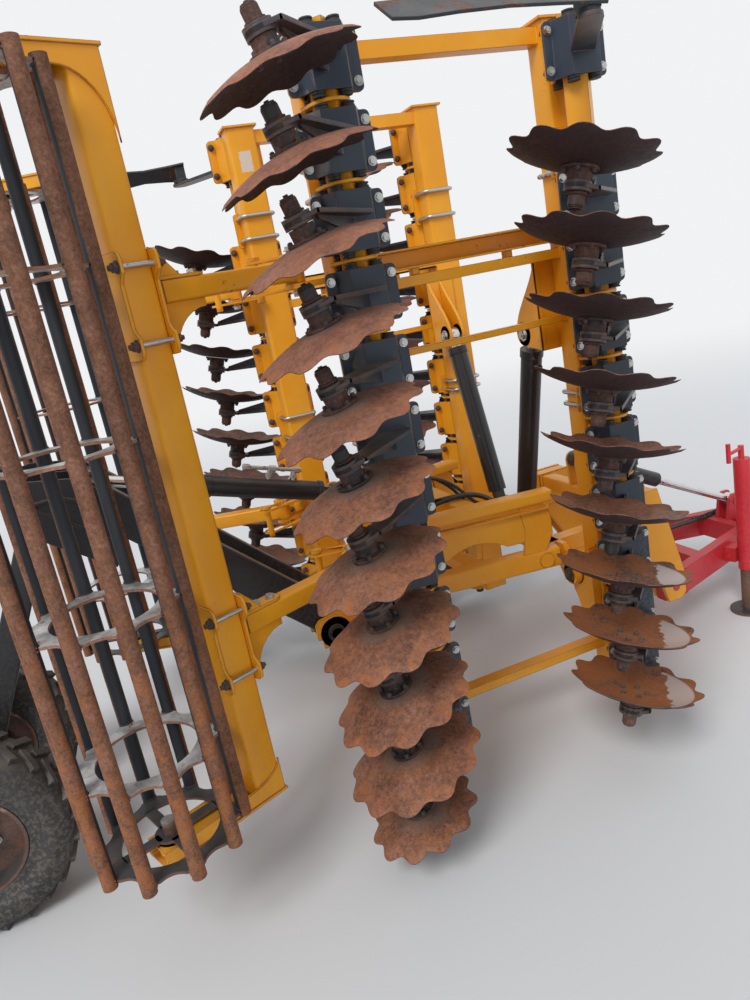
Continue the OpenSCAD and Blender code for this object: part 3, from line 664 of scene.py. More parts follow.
# a headed fastener on each point, turned to its facing and scaled to its size
def makeFastenerTree():
    g = Grower("fastener", {"Head Sides": 6, "Head Radius": 0.014, "Head Height": 0.010,
                            "Washer Radius": 0.017, "Washer Thickness": 0.003, "End Radius": 0.008,
                            "End Length": 0.006, "Seed": 3})
    sink = -0.0006
    washer = g.cylinder(16, g.gin["Washer Radius"], g.gin["Washer Thickness"], sink)
    top = g.plus(g.gin["Washer Thickness"], sink*1.2)
    head = g.cylinder(g.gin["Head Sides"], g.gin["Head Radius"], g.gin["Head Height"], top)
    low = g.plus(g.plus(top, g.gin["Head Height"]), sink)
    end = g.cylinder(10, g.gin["End Radius"], g.gin["End Length"], low)
    facing = g.attribute("facing", "FLOAT_VECTOR")
    turn = g.add("FunctionNodeAlignRotationToVector", {"axis": "Z"}, Vector=facing)
    spin = g.add("FunctionNodeRandomValue", {"data_type": "FLOAT"}, Seed=g.gin["Seed"])
    spin.inputs[3].default_value = math.pi
    around = g.add("FunctionNodeAxisAngleToRotation", Axis=(0.0, 0.0, 1.0), Angle=spin.outputs[1])
    both = g.add("FunctionNodeRotateRotation", {"rotation_space": "LOCAL"}, Rotation=turn.outputs[0],
                 Rotate_By=around.outputs[0])
    placed = g.add("GeometryNodeInstanceOnPoints", Points=g.gin["Geometry"],
                   Instance=g.join([washer, head, end]), Rotation=both.outputs[0],
                   Scale=g.attribute("size", "FLOAT"))
    return g.finish(placed.outputs[0])


# a round rod, pipe or wire along each edge path, with rounded corners
def makeRodTree():
    g = Grower("bentRod", {"Rod Radius": 0.008, "Corner Radius": 0.03, "Sides": 10, "Corner Steps": 6})
    line = g.add("GeometryNodeMeshToCurve", Mesh=g.gin["Geometry"])
    soft = g.add("GeometryNodeFilletCurve", {"mode": "POLY"}, Curve=line.outputs[0],
                 Count=g.gin["Corner Steps"], Radius=g.gin["Corner Radius"], Limit_Radius=True)
    ring = g.add("GeometryNodeCurvePrimitiveCircle", Resolution=g.gin["Sides"], Radius=g.gin["Rod Radius"])
    return g.finish(g.along(soft, ring))


# a weld bead along each edge path: a low ridge whose width comes and goes with every ripple
def makeWeldTree():
    g = Grower("weldBead", {"Bead Radius": 0.005, "Ripple Length": 0.006, "Ripple Depth": 0.25, "Seed": 5})
    line = g.add("GeometryNodeMeshToCurve", Mesh=g.gin["Geometry"])
    steps = g.add("GeometryNodeResampleCurve", {"mode": "LENGTH"}, Curve=line.outputs[0],
                  Length=g.gin["Ripple Length"])
    number = g.add("GeometryNodeInputIndex").outputs[0]
    wave = g.math("MODULO", number, 2.0)
    wander = g.add("FunctionNodeRandomValue", {"data_type": "FLOAT"}, Seed=g.gin["Seed"])
    full = g.minus(1.0, g.times(g.gin["Ripple Depth"], g.plus(g.times(wave, 0.7), wander.outputs[1])))
    wide = g.add("GeometryNodeSetCurveRadius", Curve=steps.outputs[0], Radius=full)
    ring = g.add("GeometryNodeCurvePrimitiveCircle", Resolution=6, Radius=g.gin["Bead Radius"])
    return g.finish(g.along(wide, ring))


# lugs of a tyre: two staggered rings of slanted blocks about the Z axis, then laid on the wheel's axle
def makeTreadTree():
    g = Grower("tyreTread", {"Lug Count": 26, "Tread Radius": 0.36, "Lug Height": 0.022, "Lug Width": 0.034,
                             "Lug Length": 0.105, "Slant": 0.6})
    rings = []
    high = g.plus(g.gin["Lug Height"], 0.012)
    radius = g.minus(g.plus(g.gin["Tread Radius"], g.times(g.gin["Lug Height"], 0.5)), 0.006)
    for side in (-1, 1):
        block = g.add("GeometryNodeMeshCube", Size=g.joined(high, g.gin["Lug Width"], g.gin["Lug Length"]))
        lean = g.add("GeometryNodeTransform", Geometry=block.outputs["Mesh"],
                     Rotation=g.joined(g.times(g.gin["Slant"], float(side)), 0.0, 0.0),
                     Translation=g.joined(0.0, 0.0, g.times(g.gin["Lug Length"], 0.47*side)))
        circle = g.add("GeometryNodeMeshCircle", Vertices=g.gin["Lug Count"], Radius=radius)
        number = g.add("GeometryNodeInputIndex").outputs[0]
        turn = g.times(g.math("DIVIDE", number, g.gin["Lug Count"]), 2*math.pi)
        placed = g.add("GeometryNodeInstanceOnPoints", Points=circle.outputs[0], Instance=lean.outputs[0],
                       Rotation=g.joined(0.0, 0.0, turn))
        half = g.math("DIVIDE", math.pi*(0.5 + 0.5*side), g.gin["Lug Count"])
        offset = g.add("GeometryNodeTransform", Geometry=placed.outputs[0], Rotation=g.joined(0.0, 0.0, half))
        rings.append(offset.outputs[0])
    laid = g.add("GeometryNodeTransform", Geometry=g.join(rings), Rotation=(0.0, math.pi/2, 0.0))
    spots = g.add("GeometryNodeInstanceOnPoints", Points=g.gin["Geometry"], Instance=laid.outputs[0])
    return g.finish(spots.outputs[0])


fastenerTree = makeFastenerTree()
rodTree = makeRodTree()
weldTree = makeWeldTree()
treadTree = makeTreadTree()


# grows a tree on a mesh, keeps the plain result and lets it ride on its body
def grow(name, body, mesh, tree, material, settings):
    source = bpy.data.objects.new(name + "_seed", mesh)
    bpy.context.scene.collection.objects.link(source)
    mod = source.modifiers.new("grow", "NODES")
    mod.node_group = tree
    for item in tree.interface.items_tree:
        if item.in_out == "INPUT" and item.name in settings:
            mod[item.identifier] = settings[item.name]
        elif item.in_out == "INPUT" and item.name == "Material":
            mod[item.identifier] = material
    bpy.context.view_layer.update()
    graph = bpy.context.evaluated_depsgraph_get()
    made = bpy.data.meshes.new_from_object(source.evaluated_get(graph), depsgraph=graph)
    made.name = name
    bpy.data.objects.remove(source)
    return addPiece(name, body, made)


def addPiece(name, body, mesh, material=None):
    piece = bpy.data.objects.new(name, mesh)
    bpy.context.scene.collection.objects.link(piece)
    if material:
        mesh.materials.clear()
        mesh.materials.append(material)
    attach(piece, body)
    return piece


# settings of a fastener: radius and height of its head, then of its washer and of its end
def fastener(head, washer, end, seed, sides=6):
    return {"Head Sides": sides, "Head Radius": head[0], "Head Height": head[1], "Washer Radius": washer[0],
            "Washer Thickness": washer[1], "End Radius": end[0], "End Length": end[1], "Seed": seed}


def bentRod(radius, corner=0.001, sides=12, steps=1):
    return {"Rod Radius": radius, "Corner Radius": corner, "Sides": sides, "Corner Steps": steps}


def weldBead(radius, ripple, depth, seed):
    return {"Bead Radius": radius, "Ripple Length": ripple, "Ripple Depth": depth, "Seed": seed}


def growFasteners(name, body, material, spots, settings):
    grow(name, body, pointMesh(name, spots), fastenerTree, material, settings)


# points with a facing and a size, for the fasteners
def pointMesh(name, spots):
    mesh = bpy.data.meshes.new(name + "_points")
    mesh.from_pydata([s[0] for s in spots], [], [])
    mesh.attributes.new("facing", "FLOAT_VECTOR", "POINT")
    mesh.attributes.new("size", "FLOAT", "POINT")
    facing, size = mesh.attributes["facing"].data, mesh.attributes["size"].data
    for i, spot in enumerate(spots):
        facing[i].vector = spot[1]
        size[i].value = spot[2] if len(spot) > 2 else 1.0
    return mesh


# open edge paths, for rods and beads
def pathMesh(name, paths):
    mesh = bpy.data.meshes.new(name + "_paths")
    points, edges = [], []
    for path in paths:
        first = len(points)
        points += [tuple(p) for p in path]
        edges += [(first + i, first + i + 1) for i in range(len(path) - 1)]
    mesh.from_pydata(points, edges, [])
    return mesh


def frontRow(side, row):
    return side if row == 1 else -side


# places of one wing's row that carry a housing, and whether a disc hangs there
def rowPlaces(side):
    for row in (0, 1):
        outboard = frontRow(side, row) > 0
        for i in range(machine["rowUnits"]):
            if outboard and i == 1:
                continue
            z = machine["rowTop"][row] - i*machine["rowPitch"]
            yield row, i, z, outboard, not outboard or i > 1


# heights of one wing's brackets between its housings, with their rows
def bracketPlaces(side):
    for row in (0, 1):
        outboard = frontRow(side, row) > 0
        for i in range(1 if outboard else 0, machine["rowUnits"] - 1):
            yield row, machine["rowTop"][row] - (i + 0.5)*machine["rowPitch"]


# a point on a disc's own axis: along is measured from the rim plane to the hub, turn goes round it
def onDisc(side, row, z, outboard, radius, turn, along):
    tilt = machine["discAngle"]
    flip = -1 if outboard else 1
    lx, ly, lz = radius*math.cos(turn), radius*math.sin(turn), along
    y = ly*math.cos(tilt) - lz*math.sin(tilt)
    up = ly*math.sin(tilt) + lz*math.cos(tilt)
    step = machine["discStep"]
    return at(machine["rowX"] + machine["hubOut"] + lx, machine["rowY"][row] - machine["hubBack"] + y,
              z + flip*(up - step), side)


def discFacing(outboard, sign=1):
    tilt = machine["discAngle"]
    flip = -1 if outboard else 1
    return Vector((0, -math.sin(tilt)*sign, math.cos(tilt)*flip*sign))


housingBolts = {
    "fore": 0.115,            # from the row's middle, fore and aft
    "along": 0.066,
    "flange": 0.008,
    "bolt": fastener((0.0125, 0.009), (0.0165, 0.003), (0.008, 0.001), 11),
    "nut": fastener((0.0135, 0.011), (0.016, 0.003), (0.007, 0.010), 12),
}


def makeHousingBolts(side, name):
    outer, inner = [], []
    for row, i, z, outboard, hasDisc in rowPlaces(side):
        for dy in (-1, 1):
            for dz in (-1, 1):
                y = machine["rowY"][row] + dy*housingBolts["fore"]
                h = z + dz*housingBolts["along"]
                for spots, way in ((outer, 1), (inner, -1)):
                    spot = at(machine["rowX"] + way*housingBolts["flange"], y, h, side)
                    spots.append((spot, Vector((way*side, 0, 0))))
    wing = "wing_" + name
    growFasteners("housing_bolts_" + name, wing, zincBolt, outer, housingBolts["bolt"])
    growFasteners("housing_nuts_" + name, wing, rustyBolt, inner, housingBolts["nut"])


hubBolts = {
    "count": 5, "radius": 0.0515,
    "onFlange": 0.0636, "under": 0.0483, "capTop": 0.1793,  # heights over the disc's rim plane
    "underSize": 1.15,
    "bolt": fastener((0.0085, 0.008), (0.0095, 0.002), (0.005, 0.003), 21),
    "cap": fastener((0.022, 0.006), (0.0255, 0.004), (0.008, 0.007), 22, sides=14),
}


def makeHubBolts(side, name):
    flange, caps = [], []
    h = hubBolts
    for row, i, z, outboard, hasDisc in rowPlaces(side):
        if not hasDisc:
            continue
        for k in range(h["count"]):
            turn = 2*math.pi*k/h["count"] + 0.37*i + row
            for height, way, size in ((h["onFlange"], 1, 1.0), (h["under"], -1, h["underSize"])):
                spot = onDisc(side, row, z, outboard, h["radius"], turn, height)
                flange.append((spot, discFacing(outboard, way), size))
        caps.append((onDisc(side, row, z, outboard, 0.0, 0.0, h["capTop"]), discFacing(outboard)))
    growFasteners("hub_bolts_" + name, "wing_" + name, rustyBolt, flange, h["bolt"])
    growFasteners("hub_caps_" + name, "wing_" + name, hubIron, caps, h["cap"])


cordEnds = {
    "out": 0.046305,          # from the row tube's middle to a cord's, across and fore
    "fromHousing": 0.099,
    "end": fastener((0.0185, 0.006), (0.0225, 0.007), (0.0225, 0.005), 31, sides=12),
}


# the cords' free ends swell into ribs between the housings
def makeCordEnds(side, name):
    spots = []
    for row, i, z, outboard, hasDisc in rowPlaces(side):
        for sx in (-1, 1):
            for sy in (-1, 1):
                for end in (-1, 1):
                    x = machine["rowX"] + sx*cordEnds["out"]
                    y = machine["rowY"][row] + sy*cordEnds["out"]
                    spots.append((at(x, y, z + end*cordEnds["fromHousing"], side), Vector((0, 0, end))))
    growFasteners("cord_ends_" + name, "wing_" + name, cordRubber, spots, cordEnds["end"])


# U-bolts that hold the row brackets to the columns: heights on the rear and the front column
uBolts = {
    "heights": ((2.500, 2.394, 1.500, 1.394), (2.488, 2.362, 1.486, 1.435)),
    "rod": 0.0095, "gap": 0.001, "corner": 0.024,
    "nutOut": 0.018,
    "plate": (196, 56, 12, 10),  # width, height past the bolts, corner and thickness, in millimetres
    "nut": fastener((0.0165, 0.013), (0.0175, 0.004), (0.0094, 0.004), 41),
}


def makeUBolts(side, name):
    plates = Shape()
    wide, past, corner, thick = uBolts["plate"]
    x0, x1 = machine["columnX"]
    for row in (0, 1):
        for k in (0, 2):
            high, low = (uBolts["heights"][row][k + j]*1000 for j in (0, 1))
            outline = roundedBox(wide, high - low + past, corner, (0, (high + low)/2))
            plates.moved(shiftBy(1000*x1, inMm("rowY")[row], 0)).plateX(0, thick, outline)
    piece = "u_bolt_plates_" + name
    addPiece(piece, "wing_" + name, plates.mesh(piece, side), yellowPaint)
    paths, nuts = [], []
    half = machine["columnWide"]/2 + uBolts["rod"] + uBolts["gap"]
    inside, outside = x0 - uBolts["rod"] - uBolts["gap"], x1 + uBolts["nutOut"]
    for row in (0, 1):
        y = machine["rowY"][row]
        for z in uBolts["heights"][row]:
            corners = ((outside, -half), (inside, -half), (inside, half), (outside, half))
            paths.append([at(x, y + dy, z, side) for x, dy in corners])
            for s in (-1, 1):
                nuts.append((at(x1 + thick/1000, y + s*half, z, side), Vector((side, 0, 0))))
    grow("u_bolts_" + name, "wing_" + name, pathMesh(name, paths), rodTree, zincBolt,
         bentRod(uBolts["rod"], uBolts["corner"], 10, 5))
    growFasteners("u_bolt_nuts_" + name, "wing_" + name, zincBolt, nuts, uBolts["nut"])


# a point in the roller frame's own directions: along is measured from the pivot to the axle
def onRoller(across, along, z, side):
    turn = machine["rollerTurn"]
    px, py = machine["rollerPivot"]
    return at(px + across*math.cos(turn) + along*math.sin(turn),
              py + across*math.sin(turn) - along*math.cos(turn), z, side)


def rollerWay(side, sign):
    turn = machine["rollerTurn"]
    return Vector((side*sign*math.sin(turn), -sign*math.cos(turn), 0))


clampBolts = {
    "across": 0.072, "up": 0.115, "drop": 0.030, "plateOut": 0.066, "shank": 0.009,
    "shelfBolts": (0.475, 0.412), "shelf": 0.045,
    "pivotBolt": 0.072,
    "nut": fastener((0.0165, 0.013), (0.020, 0.004), (0.009, 0.012), 51),
    "armBolt": fastener((0.0150, 0.010), (0.019, 0.003), (0.008, 0.001), 52),
}


def makeRollerBolts(side, name):
    paths, nuts, tops = [], [], []
    c = clampBolts
    for arm in machine["armHeights"]:
        z = arm - c["drop"]
        for dz in (-1, 1):
            for dx in (-1, 1):
                ends = [onRoller(dx*c["across"], machine["rollerBeam"] + s*c["plateOut"],
                                 z + dz*c["up"], side) for s in (-1, 1)]
                paths.append(ends)
                nuts.append((ends[1], rollerWay(side, 1), 1.0))
                nuts.append((ends[0], rollerWay(side, -1), 0.9))
        for along in c["shelfBolts"]:
            tops.append((onRoller(0.0, along, arm + c["shelf"], side), Vector((0, 0, 1)), 1.05))
        for dz in (-1, 1):
            tops.append((onRoller(0.0, 0.0, arm + dz*c["pivotBolt"], side), Vector((0, 0, dz)), 1.25))
    body = "roller_frame_" + name
    grow("clamp_shanks_" + name, body, pathMesh(name, paths), rodTree, zincBolt,
         bentRod(c["shank"]))
    growFasteners("clamp_nuts_" + name, body, rustyBolt, nuts, c["nut"])
    growFasteners("arm_bolts_" + name, body, zincBolt, tops, c["armBolt"])


# pin heads, caps and washers on the wing's own frame
wingPins = {
    "foldPin": (0.380, 0.765, 1.750),
    "lugOut": 0.045,
    "hingeFaces": (0.036, 0.728),
    "head": fastener((0.017, 0.009), (0.024, 0.004), (0.008, 0.004), 61),
    "cap": fastener((0.022, 0.010), (0.032, 0.005), (0.010, 0.004), 62),
}


def makeWingPins(side, name):
    x, y, z = wingPins["foldPin"]
    heads = [(at(x, y + s*wingPins["lugOut"], z, side), Vector((0, s, 0)), 1.25) for s in (-1, 1)]
    growFasteners("fold_pin_heads_" + name, "wing_" + name, zincBolt, heads, wingPins["head"])
    caps = [(at(machine["hingeX"], face, machine["hingeZ"], side), Vector((0, s, 0)))
            for face, s in zip(wingPins["hingeFaces"], (1, -1))]
    growFasteners("hinge_caps_" + name, "frame", blackPaint, caps, wingPins["cap"])


# weld beads where bars meet the columns, round lugs, brackets and rings
wingWelds = {
    # outlines of the bars on the columns' faces: from x to x, from z to z
    "bars": ((0.535, 0.595, 2.820, 2.880), (0.530, 0.600, 2.105, 2.180), (0.540, 0.590, 2.040, 2.080),
             (0.560, 0.600, 1.790, 1.815), (0.545, 0.605, 0.290, 0.330)),
    "bracketX": 0.6305, "bracketHalf": 0.066, "bracketGap": 0.006,
    "lugX": 0.508, "lugSpan": (-0.070, 0.320),
    "bead": weldBead(0.0042, 0.008, 0.25, 7),
}


def makeWingWelds(side, name):
    w = wingWelds
    paths = []
    half = machine["columnWide"]/2
    for y in (machine["rowY"][0] + half, machine["rowY"][1] - half):
        for x0, x1, z0, z1 in w["bars"]:
            corners = ((x0, z0), (x1, z0), (x1, z1), (x0, z1), (x0, z0))
            paths.append([at(x, y, z, side) for x, z in corners])
    for row, z in bracketPlaces(side):
        y = machine["rowY"][row]
        for dz in (-w["bracketGap"], w["bracketGap"]):
            paths.append([at(w["bracketX"], y + s*w["bracketHalf"], z + dz, side) for s in (-1, 1)])
    x, y, z = wingPins["foldPin"]
    for s in (-1, 1):
        paths.append([at(w["lugX"], y + s*wingPins["lugOut"], z + dz, side) for dz in w["lugSpan"]])
    grow("wing_welds_" + name, "wing_" + name, pathMesh(name, paths), weldTree, yellowPaint,
         w["bead"])


ringWelds = {"gap": 0.0005, "heights": (-0.001, 0.011), "from": -70, "step": 35,
             "bead": weldBead(0.0036, 0.012, 0.2, 8)}


def makeRingWelds(side, name):
    r = rollerShape
    cage, reach = r["cage"]/1000, r["tube"]/1000 + ringWelds["gap"]
    paths = []
    for z in r["ringHeights"]:
        for k in range(r["tubes"]):
            angle = tubeAngle(k)
            for top in ringWelds["heights"]:
                arc = []
                for step in range(5):
                    a = angle + math.pi + math.radians(ringWelds["from"] + ringWelds["step"]*step)
                    x, y = rollerCentre()
                    arc.append(at(x + cage*math.cos(angle) + reach*math.cos(a),
                                  y + cage*math.sin(angle) + reach*math.sin(a), z/1000 + top, side))
                paths.append(arc)
    grow("ring_welds_" + name, "roller_" + name, pathMesh(name, paths), weldTree, tubeRust,
         ringWelds["bead"])


# tyre: carcass turned from a profile, lugs grown round it
tyre = {
    "radius": 0.380, "tread": 0.359, "half": 0.130, "steps": 64,
    # radius and distance from the side, from the bead to the tread's edge
    "side": ((0.2003, 0.020), (0.212, 0.012), (0.222, 0.016), (0.236, 0.006), (0.262, 0.003), (0.266, 0.0),
             (0.300, 0.0), (0.304, 0.003), (0.330, 0.008), (0.349, 0.022), (0.359, 0.046)),
    "lug": {"Lug Count": 26, "Lug Width": 0.030, "Lug Length": 0.108, "Slant": 0.62},
    "nuts": 6, "nutRadius": 0.090, "nutOut": 0.020,
    "nut": fastener((0.013, 0.012), (0.016, 0.003), (0.008, 0.010), 71),
}


def makeTyre(side, name):
    half, steps = tyre["half"], tyre["steps"]
    profile = [(r, h - half) for r, h in tyre["side"]] + [(tyre["tread"] + 0.002, 0)]
    profile += [(r, -h) for r, h in reversed(profile[:-1])]
    centre = at(machine["wheelX"], *machine["axle"], side)
    points, faces = [], []
    count = len(profile)
    for k in range(steps):
        a = 2*math.pi*k/steps
        points += [(centre.x + h, centre.y + r*math.cos(a), centre.z + r*math.sin(a)) for r, h in profile]
        this, following = k*count, (k + 1) % steps*count
        for j in range(count):
            over = (j + 1) % count
            faces.append((this + j, this + over, following + over, following + j))
    mesh = bpy.data.meshes.new("tyre_body_" + name)
    mesh.from_pydata(points, [], faces)
    bm = bmesh.new()
    bm.from_mesh(mesh)
    bmesh.ops.recalc_face_normals(bm, faces=bm.faces)
    bm.to_mesh(mesh)
    bm.free()
    mesh.shade_smooth()
    wheel = "wheel_" + name
    body = addPiece("tyre_body_" + name, wheel, mesh, tyreRubber)
    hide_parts("tyre_" + name)
    spot = bpy.data.meshes.new("tread_spot")
    spot.from_pydata([tuple(centre)], [], [])
    lugs = {"Tread Radius": tyre["tread"], "Lug Height": tyre["radius"] - tyre["tread"] - 0.004}
    grow("tyre_tread_" + name, wheel, spot, treadTree, tyreRubber, {**tyre["lug"], **lugs})
    nuts = []
    for k in range(tyre["nuts"]):
        a = math.radians(360*k/tyre["nuts"] + 30)
        out = Vector((side*tyre["nutOut"], tyre["nutRadius"]*math.cos(a), tyre["nutRadius"]*math.sin(a)))
        nuts.append((centre + out, Vector((side, 0, 0))))
    growFasteners("wheel_nuts_" + name, wheel, zincBolt, nuts, tyre["nut"])


# mesh builder: pieces are drawn in millimetres from the rear row's bolt line, on the right side
class Shape:
    def __init__(self):
        self.bm = bmesh.new()
        self.at = Matrix()

    def moved(self, *turns):
        other = Shape.__new__(Shape)
        other.bm = self.bm
        other.at = self.at
        for turn in turns:
            other.at = other.at @ turn
        return other

    def loft(self, rings, local=Matrix()):
        m = self.at @ local
        rows = [[self.bm.verts.new(m @ Vector(p)) for p in ring] for ring in rings]
        count = len(rows[0])
        for a, b in zip(rows, rows[1:]):
            for i in range(count):
                self.bm.faces.new((a[i], a[(i + 1) % count], b[(i + 1) % count], b[i]))
        self.bm.faces.new(rows[0][::-1])
        self.bm.faces.new(rows[-1])

    def block(self, a, b):
        x0, y0, z0 = a
        x1, y1, z1 = b
        base = [(x0, y0), (x1, y0), (x1, y1), (x0, y1)]
        self.loft([[(x, y, z0) for x, y in base], [(x, y, z1) for x, y in base]])

    # outline in XY, drawn up along +Z; holes are closed loops inside it
    def extrude(self, outline, z0, z1, local=Matrix(), holes=()):
        if not holes:
            self.loft([[(x, y, z0) for x, y in outline], [(x, y, z1) for x, y in outline]], local)
            return
        m = self.at @ local
        loops = [outline] + list(holes)
        low = [[self.bm.verts.new(m @ Vector((x, y, z0))) for x, y in loop] for loop in loops]
        high = [[self.bm.verts.new(m @ Vector((x, y, z1))) for x, y in loop] for loop in loops]
        for a, b in zip(low, high):
            for i in range(len(a)):
                j = (i + 1) % len(a)
                self.bm.faces.new((a[i], a[j], b[j], b[i]))
        flatLow = [v for loop in low for v in loop]
        flatHigh = [v for loop in high for v in loop]
        for tri in tessellate_polygon([[Vector((x, y, 0)) for x, y in loop] for loop in loops]):
            self.bm.faces.new([flatLow[i] for i in tri])
            self.bm.faces.new([flatHigh[i] for i in tri])

    def plateX(self, x0, t, outline, holes=()):
        self.extrude(outline, 0, t, Matrix(((0, 0, 1, x0), (1, 0, 0, 0), (0, 1, 0, 0), (0, 0, 0, 1))), holes)

    def plateY(self, y0, t, outline, holes=()):
        self.extrude(outline, 0, t, Matrix(((1, 0, 0, 0), (0, 0, 1, y0), (0, 1, 0, 0), (0, 0, 0, 1))), holes)

    def rod(self, r, z0, z1, spot=(0, 0), sides=24, inner=0):
        outline = ringPoints(spot, r, sides)
        self.extrude(outline, z0, z1, holes=[ringPoints(spot, inner, sides)] if inner else ())

    def rodX(self, x0, x1, spot, r, sides=28):
        self.plateX(min(x0, x1), abs(x1 - x0), ringPoints(spot, r, sides))

    def rodY(self, y0, y1, spot, r, sides=28):
        self.plateY(min(y0, y1), abs(y1 - y0), ringPoints(spot, r, sides))

    def beamYZ(self, x, a, b, w, t):
        box = roundedBox(w, t, 8 if min(w, t) > 20 else 2, (0, 0))
        self.moved(alongYZ(a, b), shiftBy(x, 0, 0)).extrude(box, 0, math.dist(a, b))

    def squareTube(self, x0, y0, x1, y1, z0, z1, wall, corner=14):
        mid = ((x0 + x1)/2, (y0 + y1)/2)
        outer = roundedBox(x1 - x0, y1 - y0, corner, mid)
        inner = roundedBox(x1 - x0 - 2*wall, y1 - y0 - 2*wall, max(corner - wall, 2), mid)
        self.extrude(outer, z0, z1, holes=[inner])

    def mesh(self, name, side=1):
        toPart = shiftBy(0, machine["midShift"], 0) @ Matrix.Diagonal((0.001*side, 0.001, 0.001, 1))
        bmesh.ops.transform(self.bm, matrix=toPart, verts=self.bm.verts)
        bmesh.ops.recalc_face_normals(self.bm, faces=self.bm.faces)
        mesh = bpy.data.meshes.new(name)
        self.bm.to_mesh(mesh)
        self.bm.free()
        mesh.shade_smooth()
        mesh.set_sharp_from_angle(angle=math.radians(32))
        return mesh


def ringPoints(spot, r, sides=24, start=0.0, end=360.0):
    closed = end - start >= 360
    steps = sides if closed else sides + 1
    angles = [math.radians(start + (end - start)*k/sides) for k in range(steps)]
    return [(spot[0] + r*math.cos(a), spot[1] + r*math.sin(a)) for a in angles]


def roundedBox(w, h, r, mid):
    points = []
    for sx, sy, start in ((1, 1, 0), (-1, 1, 90), (-1, -1, 180), (1, -1, 270)):
        points += ringPoints((mid[0] + sx*(w/2 - r), mid[1] + sy*(h/2 - r)), r, 4, start, start + 90)
    return points


def alongYZ(a, b):
    turn = math.atan2(b[0] - a[0], b[1] - a[1])
    return shiftBy(0, *a) @ Matrix.Rotation(-turn, 4, "X")


# turns +Z into +X, for rods that lie across
def layOver():
    return Matrix.Rotation(math.radians(90), 4, "Y")


# quarter curve from a, level there, to b, upright there
def quarter(a, b, n):
    turns = [math.radians(90*k/n) for k in range(n + 1)]
    return [(a[0] + (b[0] - a[0])*math.sin(t), b[1] + (a[1] - b[1])*math.cos(t)) for t in turns]


def turnZ(degrees):
    return Matrix.Rotation(math.radians(degrees), 4, "Z")


def shiftBy(x, y, z):
    return Matrix.Translation((x, y, z))


def showPiece(shape, name, body, material, side, replaced):
    piece = addPiece(name, body, shape.mesh(name, side), material)
    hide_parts(replaced)


housing = {
    "length": 195, "face": 70.35, "flat": 62, "slope": 96, "flange": 132, "flangeCorner": 18, "wall": 8,
    "armRise": 16.8, "armThick": 14, "armEnd": 46, "ring": 34, "armLevel": 118,
    "armTip": (inMm("hubOut"), -286.5), "bend": 55,
}


def drawHousingHalf(s, sign):
    h = housing
    inner, deep = h["slope"] - 6, h["face"] - h["wall"]
    hat = [(0, -inner), (h["wall"], -h["slope"]), (h["face"], -h["flat"]), (h["face"], h["flat"]),
           (h["wall"], h["slope"]), (0, inner), (deep, h["flat"] - 6), (deep, 6 - h["flat"])]
    half, corner = h["length"]/2, h["flangeCorner"]
    m = s.moved(Matrix.Diagonal((sign, 1, 1, 1)))
    m.extrude(hat, -half, half)
    for sy in (-1, 1):
        rim = [(inner - 2, -half), (inner - 2, half)]
        for up, start in ((half - corner, 0), (corner - half, 270)):
            rim += reversed(ringPoints((h["flange"] - corner, up), corner, 5, start, start + 90))
        m.plateX(0, h["wall"], [(sy*y, z) for y, z in rim])


def onAxis(s):
    place = shiftBy(inMm("hubOut"), -inMm("hubBack"), -inMm("discStep"))
    return s.moved(place, Matrix.Rotation(machine["discAngle"], 4, "X"))


def drawDiscArm(s):
    h = housing
    root, tip, end = h["face"] - 6, h["armTip"], h["armEnd"]
    bendY = tip[1] + h["bend"]
    rise, half = h["armRise"], h["armThick"]/2
    s.extrude([(root, -62), (root, 46), (root + 56, 40), (tip[0] + end, bendY + 4), (tip[0] + end, bendY - 5),
               (tip[0] - end, bendY - 5), (tip[0] - end, bendY + 4)][::-1], rise - half, rise + half)
    a, b = Vector((root, -10)), Vector((tip[0] - 10, bendY + 8))
    d = b - a
    turn = Matrix.Rotation(math.atan2(d.y, d.x), 4, "Z") @ Matrix.Rotation(math.radians(90), 4, "X")
    s.moved(shiftBy(a.x, a.y, rise), turn).extrude(
        [(0, -1), (0, -62), (26, -62), (d.length - 10, -18), (d.length, -1)], -6, 6)
    m = onAxis(s)
    level = h["armLevel"]
    reach = h["bend"]/math.cos(machine["discAngle"]) + 2
    eye = [(end, 0), (end, reach), (-end, reach), (-end, 0)] + ringPoints((0, 0), end, 12, 180, 360)[1:-1]
    m.extrude(eye, level - half, level + half)
    m.rod(end, level - h["ring"]/2, level + h["ring"]/2, sides=24, inner=26)


def drawBladeArm(s):
    h = housing
    root, half = h["face"] - 6, h["armThick"]/2
    bx, by = h["armTip"][0] + 60, h["armTip"][1] + 60
    s.extrude([(root, -62), (bx + 10, by - 46)] + ringPoints((bx, by), h["armEnd"], 8, -60, 70)
              + [(bx + 20, by + 44), (root, 46)], h["armRise"] - half, h["armRise"] + half)


sideBlade = {
    "outline": ((-62, 40), (62, 40), (50, -120), (42, -300), (60, -480), (86, -620), (78, -700), (-50, -700),
                (-60, -620), (-48, -480), (-40, -300), (-50, -120)),
    "thick": 10, "lean": math.radians(36),
    "lengths": (0.62, 1.0),   # rear, front; the rear one is shorter, because the roller turns close behind it
}


# long leaf at the outer end of a row, narrow in the middle and tilted about its length
def drawSideBlade(s, length):
    m = s.moved(shiftBy(384, -226.5, -9.5))
    m.rod(40, 0, 16)
    m.plateY(-25, 50, [(-36, 10), (36, 10), (36, 26), (-36, 76)])
    leaf = [(x, y*length) for x, y in sideBlade["outline"]]
    half = sideBlade["thick"]/2
    m.moved(shiftBy(0, 0, 52), Matrix.Rotation(sideBlade["lean"], 4, "Y")).extrude(leaf[::-1], -half, half)


